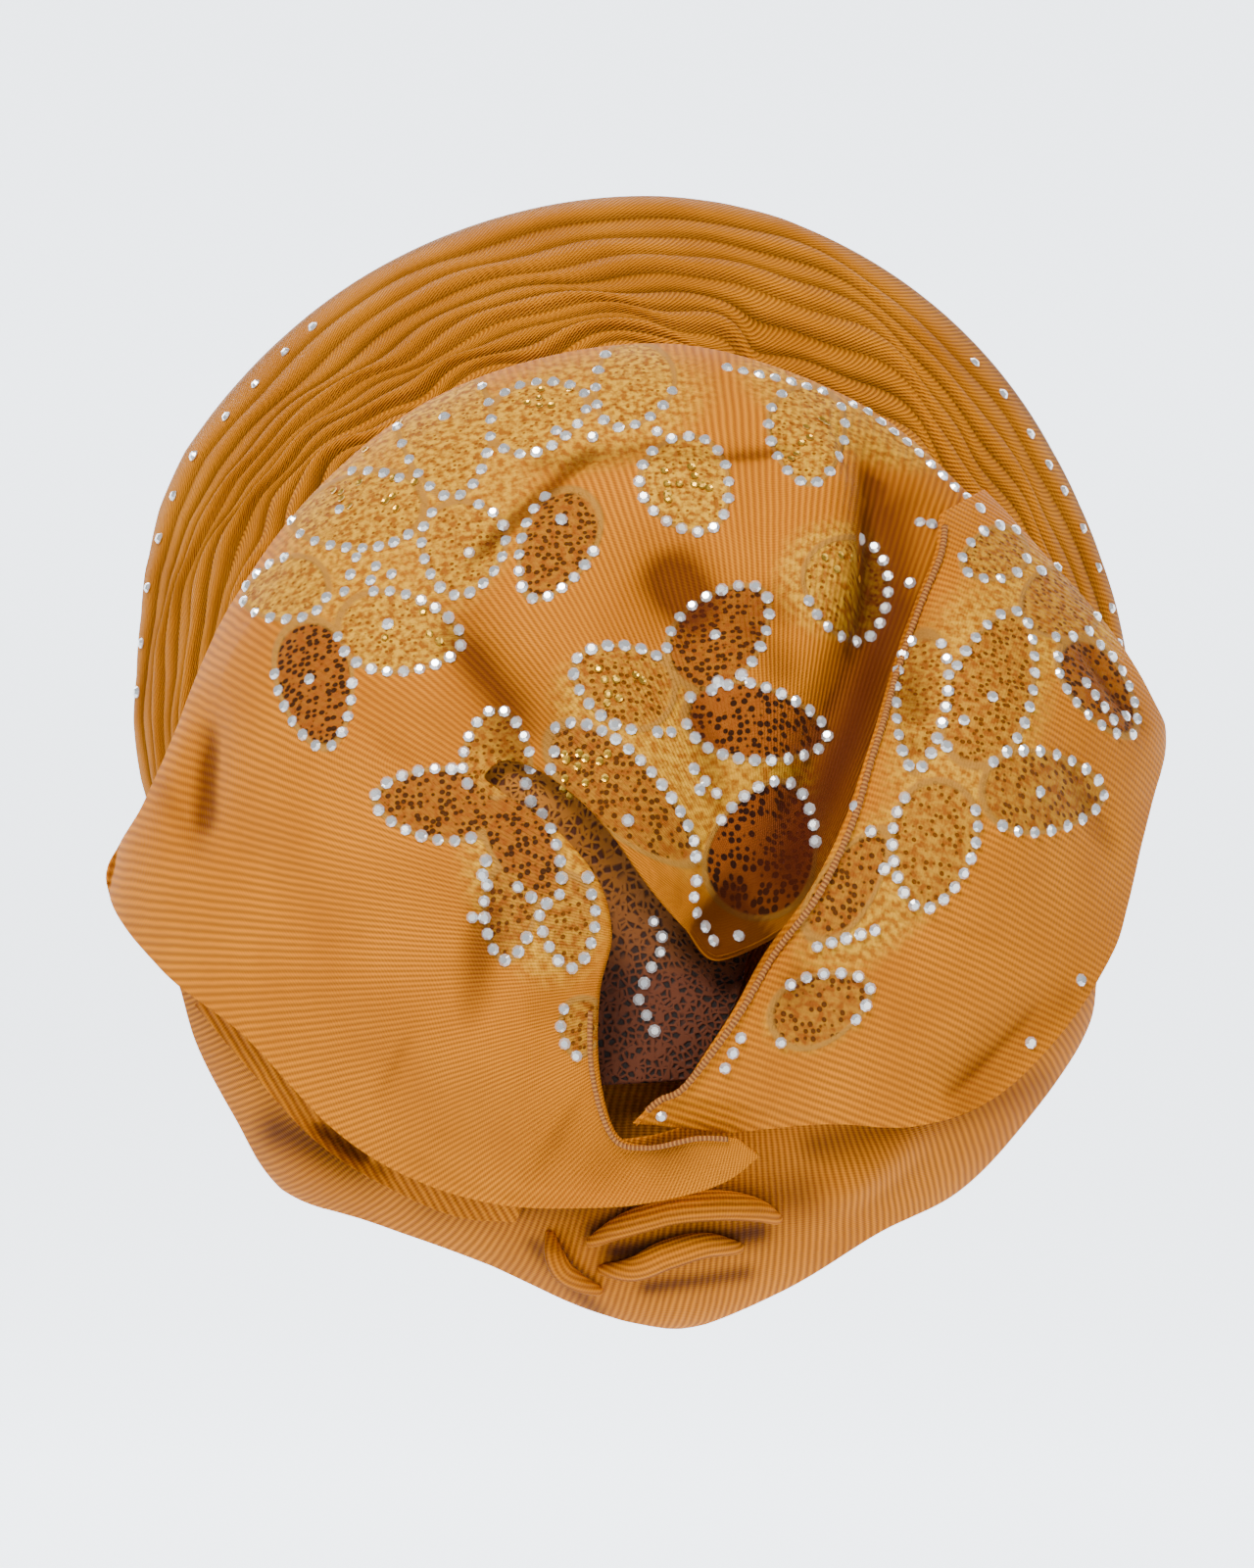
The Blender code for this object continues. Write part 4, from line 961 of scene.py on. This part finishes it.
def ribbed_cloth(name, ridge, valley, shade_colour, with_lace=False, pitch=RIB_PITCH, relief=0.5):
    """Woven polyester with fine raised ribs: soft sheen, darker between the ribs, painted shade in folds.
    """
    material, tree, shader = new_material(name)
    cloth = node(tree, "ShaderNodeUVMap", {"uv_map": "cloth"}, {}).outputs["UV"]
    place_in = node(tree, "ShaderNodeTexCoord", {}, {}).outputs["Object"]
    rib = node(tree, "ShaderNodeTexWave", {"bands_direction": "X"},
               {"Vector": cloth, "Scale": band_scale(pitch), "Distortion": 0.9, "Detail": 2.0,
                "Detail Scale": 0.6}).outputs["Color"]
    thread = node(tree, "ShaderNodeTexWave", {"bands_direction": "Y"},
                  {"Vector": cloth, "Scale": band_scale(THREAD_PITCH), "Distortion": 1.5,
                   "Detail": 1.0}).outputs["Color"]
    patch = node(tree, "ShaderNodeTexNoise", {}, {"Vector": place_in, "Scale": patch_scale(DYE_PATCH),
                                                "Detail": 3.0})
    fuzz = node(tree, "ShaderNodeTexNoise", {}, {"Vector": place_in, "Scale": patch_scale(FUZZ_PATCH),
                                               "Detail": 2.0})
    # The fold mark is painted shade: it mixes the cloth towards the shade colour in folds, grooves and
    # hollows.
    fold = node(tree, "ShaderNodeAttribute", {"attribute_name": "fold"}, {}).outputs["Fac"]
    woven = node(tree, "ShaderNodeMath", {"operation": "MULTIPLY_ADD"},
                 {0: thread, 1: 0.35, 2: rib})
    height = node(tree, "ShaderNodeMath", {"operation": "MULTIPLY"}, {0: woven.outputs[0], 1: 0.74})
    colour = mixed(tree, height.outputs[0], linear(valley), linear(ridge))
    tint = node(tree, "ShaderNodeMapRange", {}, {"Value": patch.outputs["Fac"], "From Min": 0.35,
                                                 "From Max": 0.7, "To Min": 0.0, "To Max": 0.4})
    colour = mixed(tree, tint.outputs[0], colour, linear(valley))
    if not with_lace:
        colour = mixed(tree, fold, colour, linear(shade_colour))
    bumps = node(tree, "ShaderNodeMath", {"operation": "MULTIPLY_ADD"},
                 {0: fuzz.outputs["Fac"], 1: 0.25, 2: height.outputs[0]}).outputs[0]
    if with_lace:
        colour, bumps = lace_over(tree, colour, bumps)
        colour = mixed(tree, fold, colour, linear(shade_colour))
    bump = node(tree, "ShaderNodeBump", {}, {"Height": bumps, "Strength": 0.8,
                                             "Distance": relief * MM})
    tree.links.new(colour, shader.inputs["Base Color"])
    tree.links.new(bump.outputs[0], shader.inputs["Normal"])
    shader.inputs["Roughness"].default_value = 0.7
    shader.inputs["Specular IOR Level"].default_value = 0.15
    shader.inputs["Sheen Weight"].default_value = 0.06
    shader.inputs["Sheen Roughness"].default_value = 0.5
    shader.inputs["Sheen Tint"].default_value = linear("#F2A030")
    return material


def lace_over(tree, colour, bumps):
    """Lace petals let into ribbed cloth: a knotted net inside a raised cord, on yellower ground."""
    net_place = node(tree, "ShaderNodeUVMap", {"uv_map": "net"}, {}).outputs["UV"]
    petal = node(tree, "ShaderNodeAttribute", {"attribute_name": "petal"}, {}).outputs["Fac"]
    net_and_shade_darkness = node(tree, "ShaderNodeAttribute", {"attribute_name": "open"}, {}).outputs["Fac"]
    ground = node(tree, "ShaderNodeAttribute", {"attribute_name": "ground"}, {}).outputs["Fac"]
    inside = node(tree, "ShaderNodeMapRange", {}, {"Value": petal, "From Min": -0.4, "From Max": 0.4})
    net = node(tree, "ShaderNodeTexVoronoi", {"feature": "F1"},
               {"Vector": net_place, "Scale": patch_scale(NET_PITCH), "Randomness": 0.6})
    opened = node(tree, "ShaderNodeMath", {"operation": "MULTIPLY_ADD"},
                  {0: net_and_shade_darkness, 1: -0.24, 2: net.outputs["Distance"]})
    hole = node(tree, "ShaderNodeMapRange", {}, {"Value": opened.outputs[0], "From Min": 0.27,
                                                 "From Max": 0.17})
    worked = node(tree, "ShaderNodeTexNoise", {},
                  {"Vector": net_place, "Scale": patch_scale(WORKED_PATCH), "Detail": 2.0})
    grain = node(tree, "ShaderNodeMapRange", {}, {"Value": worked.outputs["Fac"], "From Min": 0.38,
                                                  "From Max": 0.62})
    ground_colour = mixed(tree, grain.outputs[0], linear("#A8620A"), linear("#F0B428"))
    worked_cloth = node(tree, "ShaderNodeMath", {"operation": "MULTIPLY"}, {0: ground, 1: 0.8})
    colour = mixed(tree, worked_cloth.outputs[0], colour, ground_colour)
    # Browner strands and darker holes where the net is darker: partly the lace's own colour, partly
    # painted shade where a petal lies in shadow.
    strand = mixed(tree, net_and_shade_darkness, ground_colour, linear("#9A4E10"))
    gap = mixed(tree, net_and_shade_darkness, linear("#9A560A"), linear("#200800"))
    netting = mixed(tree, hole.outputs[0], strand, gap)
    colour = mixed(tree, inside.outputs[0], colour, netting)
    near = node(tree, "ShaderNodeMath", {"operation": "ABSOLUTE"}, {0: petal})
    cord = node(tree, "ShaderNodeMapRange", {}, {"Value": near.outputs[0], "From Min": 1.0,
                                                 "From Max": 0.4})
    colour = mixed(tree, cord.outputs[0], colour, linear("#B98030"))
    sunk = node(tree, "ShaderNodeMath", {"operation": "MULTIPLY"},
                {0: hole.outputs[0], 1: inside.outputs[0]})
    bumps = node(tree, "ShaderNodeMath", {"operation": "SUBTRACT"}, {0: bumps, 1: sunk.outputs[0]})
    bumps = node(tree, "ShaderNodeMath", {"operation": "ADD"},
                 {0: bumps.outputs[0], 1: cord.outputs[0]})
    return colour, bumps.outputs[0]


def open_lace(name):
    """Openwork lace with painted shade: dark holes between brown-gold knotted strands, darker lower down.
    """
    material, tree, shader = new_material(name)
    net_place = node(tree, "ShaderNodeUVMap", {"uv_map": "net"}, {}).outputs["UV"]
    net = node(tree, "ShaderNodeTexVoronoi", {"feature": "DISTANCE_TO_EDGE"},
               {"Vector": net_place, "Scale": patch_scale(NET_PITCH), "Randomness": 0.9})
    hole = node(tree, "ShaderNodeMapRange", {}, {"Value": net.outputs["Distance"], "From Min": 0.1,
                                                 "From Max": 0.26})
    place_in = node(tree, "ShaderNodeTexCoord", {}, {}).outputs["Object"]
    up = node(tree, "ShaderNodeSeparateXYZ", {}, {"Vector": place_in}).outputs["Z"]
    # Painted shade: strands and holes darken towards the bottom of the pocket.
    lit = node(tree, "ShaderNodeMapRange", {}, {"Value": up, "From Min": -0.055, "From Max": 0.0})
    strand = mixed(tree, lit.outputs[0], linear("#5E2A0C"), linear("#B4701C"))
    gap = mixed(tree, lit.outputs[0], linear("#140502"), linear("#5A2808"))
    colour = mixed(tree, hole.outputs[0], strand, gap)
    bump = node(tree, "ShaderNodeBump", {"invert": True},
                {"Height": hole.outputs[0], "Strength": 0.8, "Distance": 0.0008})
    tree.links.new(colour, shader.inputs["Base Color"])
    tree.links.new(bump.outputs[0], shader.inputs["Normal"])
    shader.inputs["Roughness"].default_value = 0.8
    return material


def foil_backed_crystal(name):
    """Cut glass on silver foil, with a cool grey edge and a weak painted glow that keeps it bright."""
    material, tree, shader = new_material(name)
    place_in = node(tree, "ShaderNodeTexCoord", {}, {}).outputs["Object"]
    patch = node(tree, "ShaderNodeTexNoise", {},
                 {"Vector": place_in, "Scale": patch_scale(STONE_PATCH), "Detail": 1.0})
    colour = mixed(tree, patch.outputs["Fac"], linear("#F8FAFC"), linear("#D2DAE4"))
    tree.links.new(colour, shader.inputs["Base Color"])
    shader.inputs["Metallic"].default_value = 0.75
    shader.inputs["Roughness"].default_value = 0.22
    # Painted glow: the weak emission keeps the stones bright in shade, standing in for their sparkle.
    shader.inputs["Emission Color"].default_value = linear("#FFFFFF")
    shader.inputs["Emission Strength"].default_value = 0.15
    shader.inputs["Coat Weight"].default_value = 0.6
    shader.inputs["Coat Roughness"].default_value = 0.05
    return material


def gold_film(name):
    """Metallised plastic film, punched into sequins: bright yellow gold."""
    material, tree, shader = new_material(name)
    place_in = node(tree, "ShaderNodeTexCoord", {}, {}).outputs["Object"]
    patch = node(tree, "ShaderNodeTexNoise", {},
                 {"Vector": place_in, "Scale": patch_scale(SEQUIN_PATCH), "Detail": 1.0})
    colour = mixed(tree, patch.outputs["Fac"], linear("#FFD35A"), linear("#D79A1E"))
    tree.links.new(colour, shader.inputs["Base Color"])
    shader.inputs["Metallic"].default_value = 0.9
    shader.inputs["Roughness"].default_value = 0.28
    return material


def overlock_thread(name):
    """Overlocked hem: stitches of thick polyester thread laid side by side over the edge."""
    material, tree, shader = new_material(name)
    cloth = node(tree, "ShaderNodeUVMap", {"uv_map": "cloth"}, {}).outputs["UV"]
    stitch = node(tree, "ShaderNodeTexWave", {"bands_direction": "Y"},
                  {"Vector": cloth, "Scale": band_scale(STITCH_PITCH), "Distortion": 1.0, "Detail": 1.0})
    colour = mixed(tree, stitch.outputs["Fac"], linear("#8A4A1A"), linear("#D08A3A"))
    bump = node(tree, "ShaderNodeBump", {}, {"Height": stitch.outputs["Fac"], "Strength": 0.9,
                                             "Distance": 0.0006})
    tree.links.new(colour, shader.inputs["Base Color"])
    tree.links.new(bump.outputs[0], shader.inputs["Normal"])
    shader.inputs["Roughness"].default_value = 0.75
    return material


def camera_and_light():
    """The photograph's view from behind, pale sweep of floor and wall, soft light."""
    data = bpy.data.cameras.new("camera")
    data.lens = FOCAL_PIXELS / PHOTO_HEIGHT * SENSOR
    data.sensor_width = SENSOR
    data.shift_x = SHIFT_X
    data.shift_y = SHIFT_Y
    camera = bpy.data.objects.new("camera", data)
    camera.location = (0.0, CAMERA_BACK, 0.0)
    camera.rotation_euler = (math.radians(90), 0.0, math.radians(180))
    bpy.context.collection.objects.link(camera)
    bpy.context.scene.camera = camera
    for row in LIGHTS:
        where = Vector((row.x, row.y, row.z))
        lamp = bpy.data.lights.new(row.name, "AREA")
        lamp.size = row.size
        lamp.energy = row.power
        lamp.color = linear(row.tint)[:3]
        light = bpy.data.objects.new(row.name, lamp)
        light.location = where
        light.rotation_euler = (-where).to_track_quat("-Z", "Y").to_euler()
        bpy.context.collection.objects.link(light)
    world = bpy.data.worlds.new("studio")
    world.use_nodes = True
    world.node_tree.nodes["Background"].inputs["Color"].default_value = linear("#EEF4FB")
    world.node_tree.nodes["Background"].inputs["Strength"].default_value = 0.2
    bpy.context.scene.world = world


def studio_floor():
    """A pale floor, lit from behind, that sweeps up into a wall in front of the head tie."""
    profile = [(FLOOR_REACH, FLOOR_UP)]
    for k in range(SWEEP_STEPS + 1):
        turn = math.pi / 2 * k / SWEEP_STEPS
        profile.append((WALL_BACK + SWEEP_RADIUS * (1 - math.sin(turn)),
                        FLOOR_UP + SWEEP_RADIUS * (1 - math.cos(turn))))
    profile.append((WALL_BACK, WALL_TOP))
    points = [(side * FLOOR_REACH, back, up) for back, up in profile for side in (-1, 1)]
    faces = [(2 * k, 2 * k + 1, 2 * k + 3, 2 * k + 2) for k in range(len(profile) - 1)]
    mesh = bpy.data.meshes.new("studio_floor")
    mesh.from_pydata(points, [], faces)
    mesh.shade_smooth()
    material, tree, shader = new_material("matt_painted_board")
    shader.inputs["Base Color"].default_value = linear("#EDF2F8")
    shader.inputs["Roughness"].default_value = 0.9
    shader.inputs["Emission Color"].default_value = linear("#EDF4FC")
    place_in = node(tree, "ShaderNodeTexCoord", {}, {}).outputs["Object"]
    back = node(tree, "ShaderNodeSeparateXYZ", {}, {"Vector": place_in}).outputs["Y"]
    glow = node(tree, "ShaderNodeMapRange", {}, {"Value": back, "From Min": -1.0, "From Max": 0.4,
                                                 "To Min": 2.7, "To Max": 0.1})
    tree.links.new(glow.outputs[0], shader.inputs["Emission Strength"])
    mesh.materials.append(material)
    floor = bpy.data.objects.new("studio_floor", mesh)
    bpy.context.collection.objects.link(floor)


def surface_tree(pieces):
    """A search tree of the shown cloth, to cast places of the photograph onto."""
    corners, faces = [], []
    for piece in pieces:
        start = len(corners)
        corners += [vertex.co.copy() for vertex in piece.data.vertices]
        faces += [tuple(start + k for k in face.vertices) for face in piece.data.polygons]
    return BVHTree.FromPolygons(corners, faces)


def cast_pixel(tree, x, y):
    """The place and outward direction of the cloth that shows at a pixel of the photograph."""
    eye = Vector((0.0, CAMERA_BACK, 0.0))
    way = Vector(((AXIS_X - x) / FOCAL_PIXELS, -1.0, (AXIS_Y - y) / FOCAL_PIXELS)).normalized()
    spot, normal, _, _ = tree.ray_cast(eye, way)
    if spot is None:
        return None
    if normal.dot(way) > 0:
        normal = -normal
    return spot, normal


def petal_outline(row):
    """Pixels along a petal's edge, one for each crystal."""
    angles = np.radians(np.linspace(row.first, row.last, 200))
    turn = math.radians(row.turn)
    along = row.reach * np.cos(angles)
    aside = row.girth * np.sin(angles) * (1 - PETAL_TAPER * np.cos(angles))
    x = row.x + along * math.cos(turn) - aside * math.sin(turn)
    y = row.y + along * math.sin(turn) + aside * math.cos(turn)
    return evenly(x, y)


def evenly(x, y):
    """Pixels spaced evenly along a line."""
    run = np.concatenate([[0], np.cumsum(np.hypot(np.diff(x), np.diff(y)))])
    count = max(2, int(round(run[-1] / CRYSTAL_SPACING)) + 1)
    places = np.linspace(0, run[-1], count)
    return list(zip(np.interp(places, run, x), np.interp(places, run, y)))


def crystal_pixels():
    """Where the crystals of the wraps show, in the photograph's pixels, none too close."""
    wanted = []
    for row in PETALS:
        wanted += petal_outline(row)
    for trail in TRAILS:
        line = np.array(trail, dtype=float)
        wanted += evenly(line[:, 0], line[:, 1])
    wanted += SINGLES
    kept = []
    for x, y in wanted:
        if all(math.hypot(x - a, y - b) > CRYSTAL_CLEARANCE for a, b in kept):
            kept.append((x, y))
    return kept


def crystal_places(cloth_tree, halo_grid):
    """Places and outward directions of all crystals, on the wraps and along the halo's rim."""
    places = [found for x, y in crystal_pixels() if (found := cast_pixel(cloth_tree, x, y))]
    for angle in RIM_CRYSTALS:
        column = int(np.argmin(np.abs(BACK_ANGLES - angle)))
        turn = math.radians(angle)
        facing = Vector((-math.cos(turn), 0.35, math.sin(turn))).normalized()
        places.append((Vector(halo_grid[RIM_CRYSTAL_ROW, column]), facing))
    return places


def sequin_places(cloth_tree):
    """Places and outward directions of the gold sequins, scattered inside their petals."""
    dice = np.random.default_rng(11)
    places = []
    for row in SEQUINS:
        for _ in range(row.count):
            x = row.x + dice.uniform(-1, 1) * row.half_x
            y = row.y + dice.uniform(-1, 1) * row.half_y
            places.append(cast_pixel(cloth_tree, x, y))
    return [found for found in places if found]


def cut_stone(radius, height):
    """Points and faces of one flat-backed stone: a table, eight facets and a back."""
    ring = [(math.cos(math.pi * k / 4), math.sin(math.pi * k / 4)) for k in range(8)]
    points = [(c * radius, s * radius, 0.0) for c, s in ring]
    points += [(c * radius, s * radius, height * GIRDLE_SHARE) for c, s in ring]
    points += [(c * radius * TABLE_SHARE, s * radius * TABLE_SHARE, height) for c, s in ring]
    faces = [tuple(range(7, -1, -1)), tuple(range(16, 24))]
    for start in (0, 8):
        for k in range(8):
            after = (k + 1) % 8
            faces.append((start + k, start + after, start + 8 + after, start + 8 + k))
    return points, faces


def disc(radius, height):
    """Points and faces of one sequin: a shallow faceted cup, seen from its hollow side."""
    ring = [(math.cos(math.pi * k / 4), math.sin(math.pi * k / 4)) for k in range(8)]
    points = [(c * radius, s * radius, height) for c, s in ring]
    points += [(c * radius * 0.5, s * radius * 0.5, height * 0.5) for c, s in ring]
    points += [(c * radius, s * radius, height - SEQUIN_THICK) for c, s in ring]
    points += [(0.0, 0.0, 0.0)]
    faces = [tuple(range(8, 16))]
    for k in range(8):
        after = (k + 1) % 8
        faces.append((k, after, 8 + after, 8 + k))
        faces.append((after, k, 16 + k, 16 + after))
        faces.append((16 + after, 16 + k, 24))
    return points, faces


def scatter(name, spots, shape, material, seed):
    """Many copies of one small shape, each set on the cloth facing outwards, as one piece."""
    dice = np.random.default_rng(seed)
    shape_points, shape_faces = shape
    points, faces = [], []
    for spot, normal in spots:
        start = len(points)
        tilt = Vector(dice.normal(0, SETTING_TILT, 3))
        facing = (normal + tilt).normalized().to_track_quat("Z", "Y").to_matrix()
        spin = dice.uniform(0, math.pi / 4)
        size = dice.uniform(*SIZE_SPREAD)
        c, s = math.cos(spin), math.sin(spin)
        for x, y, z in shape_points:
            turned = Vector((c * x - s * y, s * x + c * y, z)) * size * MM
            points.append(spot + facing @ turned)
        faces += [tuple(start + k for k in face) for face in shape_faces]
    mesh = bpy.data.meshes.new(name)
    mesh.from_pydata([tuple(point) for point in points], [], faces)
    mesh.materials.append(material)
    piece = bpy.data.objects.new(name, mesh)
    bpy.context.collection.objects.link(piece)
    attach(piece, "root")
    return piece


def line_shade(points, rows):
    """Painted shade along the cloth's deepest hollows, from 0 to 1."""
    across, up = -points[..., 0] / MM, points[..., 2] / MM
    total = np.zeros(across.shape)
    for row in rows:
        along, away = beside_line(row, across, up)
        depth = row.depth0 + (row.depth1 - row.depth0) * along
        total = np.maximum(total, depth * np.exp(-(away / row.width) ** 2))
    return total


def hollow_shade(points):
    """Painted shade from 0 to 1, by how deep in a fold or hollow each place of a cloth lies."""
    normals = unit(np.cross(np.gradient(points, axis=0), np.gradient(points, axis=1)))
    if np.sum(normals * (points - HEAD_MIDDLE)) < 0:
        normals = -normals
    bend = np.zeros(points.shape[:2])
    for step in BEND_STEPS:
        for axis in (0, 1):
            pad = [(0, 0)] * 3
            pad[axis] = (step, step)
            spread = np.pad(points, pad, mode="edge")
            ahead = np.take(spread, range(2 * step, spread.shape[axis]), axis=axis)
            behind = np.take(spread, range(0, spread.shape[axis] - 2 * step), axis=axis)
            middle = (ahead + behind) / 2 - points
            gap = np.linalg.norm(ahead - behind, axis=2) / 2
            bend += np.sum(middle * normals, axis=2) / np.maximum(gap, 0.002)
    low = -fold_height(-points[..., 0] / MM, points[..., 2] / MM) / DEEPEST_FOLD
    bent = np.clip(bend * BEND_SHADE, 0, MOST_BEND_SHADE)
    return np.clip(bent + np.clip(low * LOW_SHADE, 0, MOST_LOW_SHADE), 0, MOST_SHADE)


def wrap_piece(name, grid, material, cloth_map, lace):
    """One wrap from its grid, with its cloth map, its net map, its lace marks and its painted fold shade.
    """
    marks = {"fold": np.maximum(hollow_shade(grid), line_shade(grid, SHADES.get(name, [])))}
    if lace:
        petal, net_and_shade_darkness, ground = lace_marks(grid)
        marks.update({"petal": petal, "open": net_and_shade_darkness, "ground": ground})
    maps = {"cloth": cloth_map, "net": net_map(grid)}
    return sheet_from_grid(name, grid, WRAP_THICK, maps, marks, material, HEAD_MIDDLE)


def finish_cloth(piece, nodes):
    """Say what a cloth piece rides on, and hide the solids that it stands for."""
    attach(piece, "root")
    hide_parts(*nodes)


# The solids come in selected, and an operator would act on them.
for item in bpy.data.objects:
    item.select_set(False)

camera_and_light()
studio_floor()

pleat_cloth = ribbed_cloth("ribbed_cloth_pleated", "#FCA208", "#A25600", "#100300", pitch=1.8,
                           relief=0.9)
wrap_cloth = ribbed_cloth("ribbed_cloth_with_lace", "#F29600", "#AC5C00", "#4A1400", with_lace=True)
plain_cloth = ribbed_cloth("ribbed_cloth_plain", "#EC9004", "#9A5000", "#3A1000")
inner_cloth = ribbed_cloth("ribbed_cloth_inner", "#B8741E", "#8A4F10", "#4A1C06", pitch=2.4)
lining_lace = open_lace("openwork_lace_in_shade")
crystal = foil_backed_crystal("foil_backed_crystal")
sequin_film = gold_film("gold_film_sequin")
hem_thread = overlock_thread("overlocked_polyester_thread")

main_grid = wrap_grid(MAIN_STATIONS, columns=300, rows=84, skirt_rows=14, roll_rows=MAIN_ROLL_ROWS)
main_map = fan_map(main_grid, middle_a=42.0, middle_u=-50.0, radius=150.0, run=run_length(main_grid, 0))
main_wrap = wrap_piece("main_wrap_cloth", main_grid, wrap_cloth, main_map, lace=True)
right_grid = wrap_grid(RIGHT_STATIONS, columns=190, rows=84, skirt_rows=14, roll_rows=RIGHT_ROLL_ROWS)
right_wrap = wrap_piece("right_wrap_cloth", right_grid, wrap_cloth, flat_map(right_grid, turn=75.0),
                        lace=True)

hem_line = right_grid[RIGHT_ROLL_ROWS, RIGHT_HEM_COLUMNS] + place(0.0, 0.0, 0.6)
hem_radius = 1.0 * MM * (1 + 0.12 * np.sin(np.arange(len(hem_line)) * 2.1))
right_hem = stitched_hem("right_wrap_hem", hem_line, hem_radius, hem_thread)
finish_cloth(right_wrap, ["right_wrap"])

tail_line = main_grid[MAIN_ROLL_ROWS, MAIN_HEM_COLUMNS] + place(0.0, 0.0, 0.4)
tail_hem = stitched_hem("main_wrap_tail_hem", tail_line, np.full(len(tail_line), 0.8 * MM), hem_thread)
finish_cloth(main_wrap, ["main_wrap"])

under_grid = wrap_grid(UNDER_STATIONS, columns=110, rows=28, skirt_rows=8, roll_rows=3)
under_wrap = wrap_piece("under_wrap_cloth", under_grid, plain_cloth, flat_map(under_grid, turn=30.0),
                        lace=False)
finish_cloth(under_wrap, ["under_wrap"])

nape_grid = wrap_grid(NAPE_STATIONS, columns=260, rows=50, skirt_rows=26, roll_rows=3)
nape_wrap = wrap_piece("nape_wrap_cloth", nape_grid, plain_cloth, turn_map(nape_grid, turn=15.0),
                       lace=False)
finish_cloth(nape_wrap, ["nape_wrap"])

pocket_grid = wrap_grid(POCKET_STATIONS, columns=90, rows=60, skirt_rows=4, roll_rows=0)
pocket = wrap_piece("pocket_lining_lace", pocket_grid, lining_lace, flat_map(pocket_grid, turn=0.0),
                    lace=False)
finish_cloth(pocket, ["pocket_lining"])

# The halo's fold marks are painted shade in the grooves between its pleats.
back_grid, back_groove_shade = halo_back_grid()
halo_back = sheet_from_grid("halo_pleats_back_cloth", back_grid, PLEAT_THICK,
                            {"cloth": walked_map(back_grid)}, {"fold": back_groove_shade * 0.9},
                            pleat_cloth, HEAD_MIDDLE)
finish_cloth(halo_back, ["halo_pleats_back"])

front_grid, front_groove_shade = halo_front_grid()
halo_front = sheet_from_grid("halo_pleats_front_cloth", front_grid, PLEAT_THICK,
                             {"cloth": walked_map(front_grid)}, {"fold": front_groove_shade * 0.7},
                             pleat_cloth, HALO_MIDDLE)
finish_cloth(halo_front, ["halo_pleats_front"])

first_turn = crown_grid()
crown = sheet_from_grid("crown_wrap_cloth", first_turn, CROWN_THICK,
                        {"cloth": walked_map(first_turn)}, {"fold": np.zeros(first_turn.shape[:2])},
                        inner_cloth, HEAD_MIDDLE)
finish_cloth(crown, ["crown_wrap"])

for roll_name, roll_rows in KNOT_ROLLS.items():
    roll = knot_roll(roll_name + "_cloth", roll_rows, plain_cloth)
    finish_cloth(roll, [roll_name])

cast_tree = surface_tree([main_wrap, right_wrap, nape_wrap, pocket])
scatter("crystals_on_wraps", crystal_places(cast_tree, back_grid),
        cut_stone(CRYSTAL_RADIUS, CRYSTAL_HEIGHT), crystal, 3)
scatter("sequins_on_wraps", sequin_places(cast_tree), disc(SEQUIN_RADIUS, SEQUIN_HEIGHT),
        sequin_film, 5)
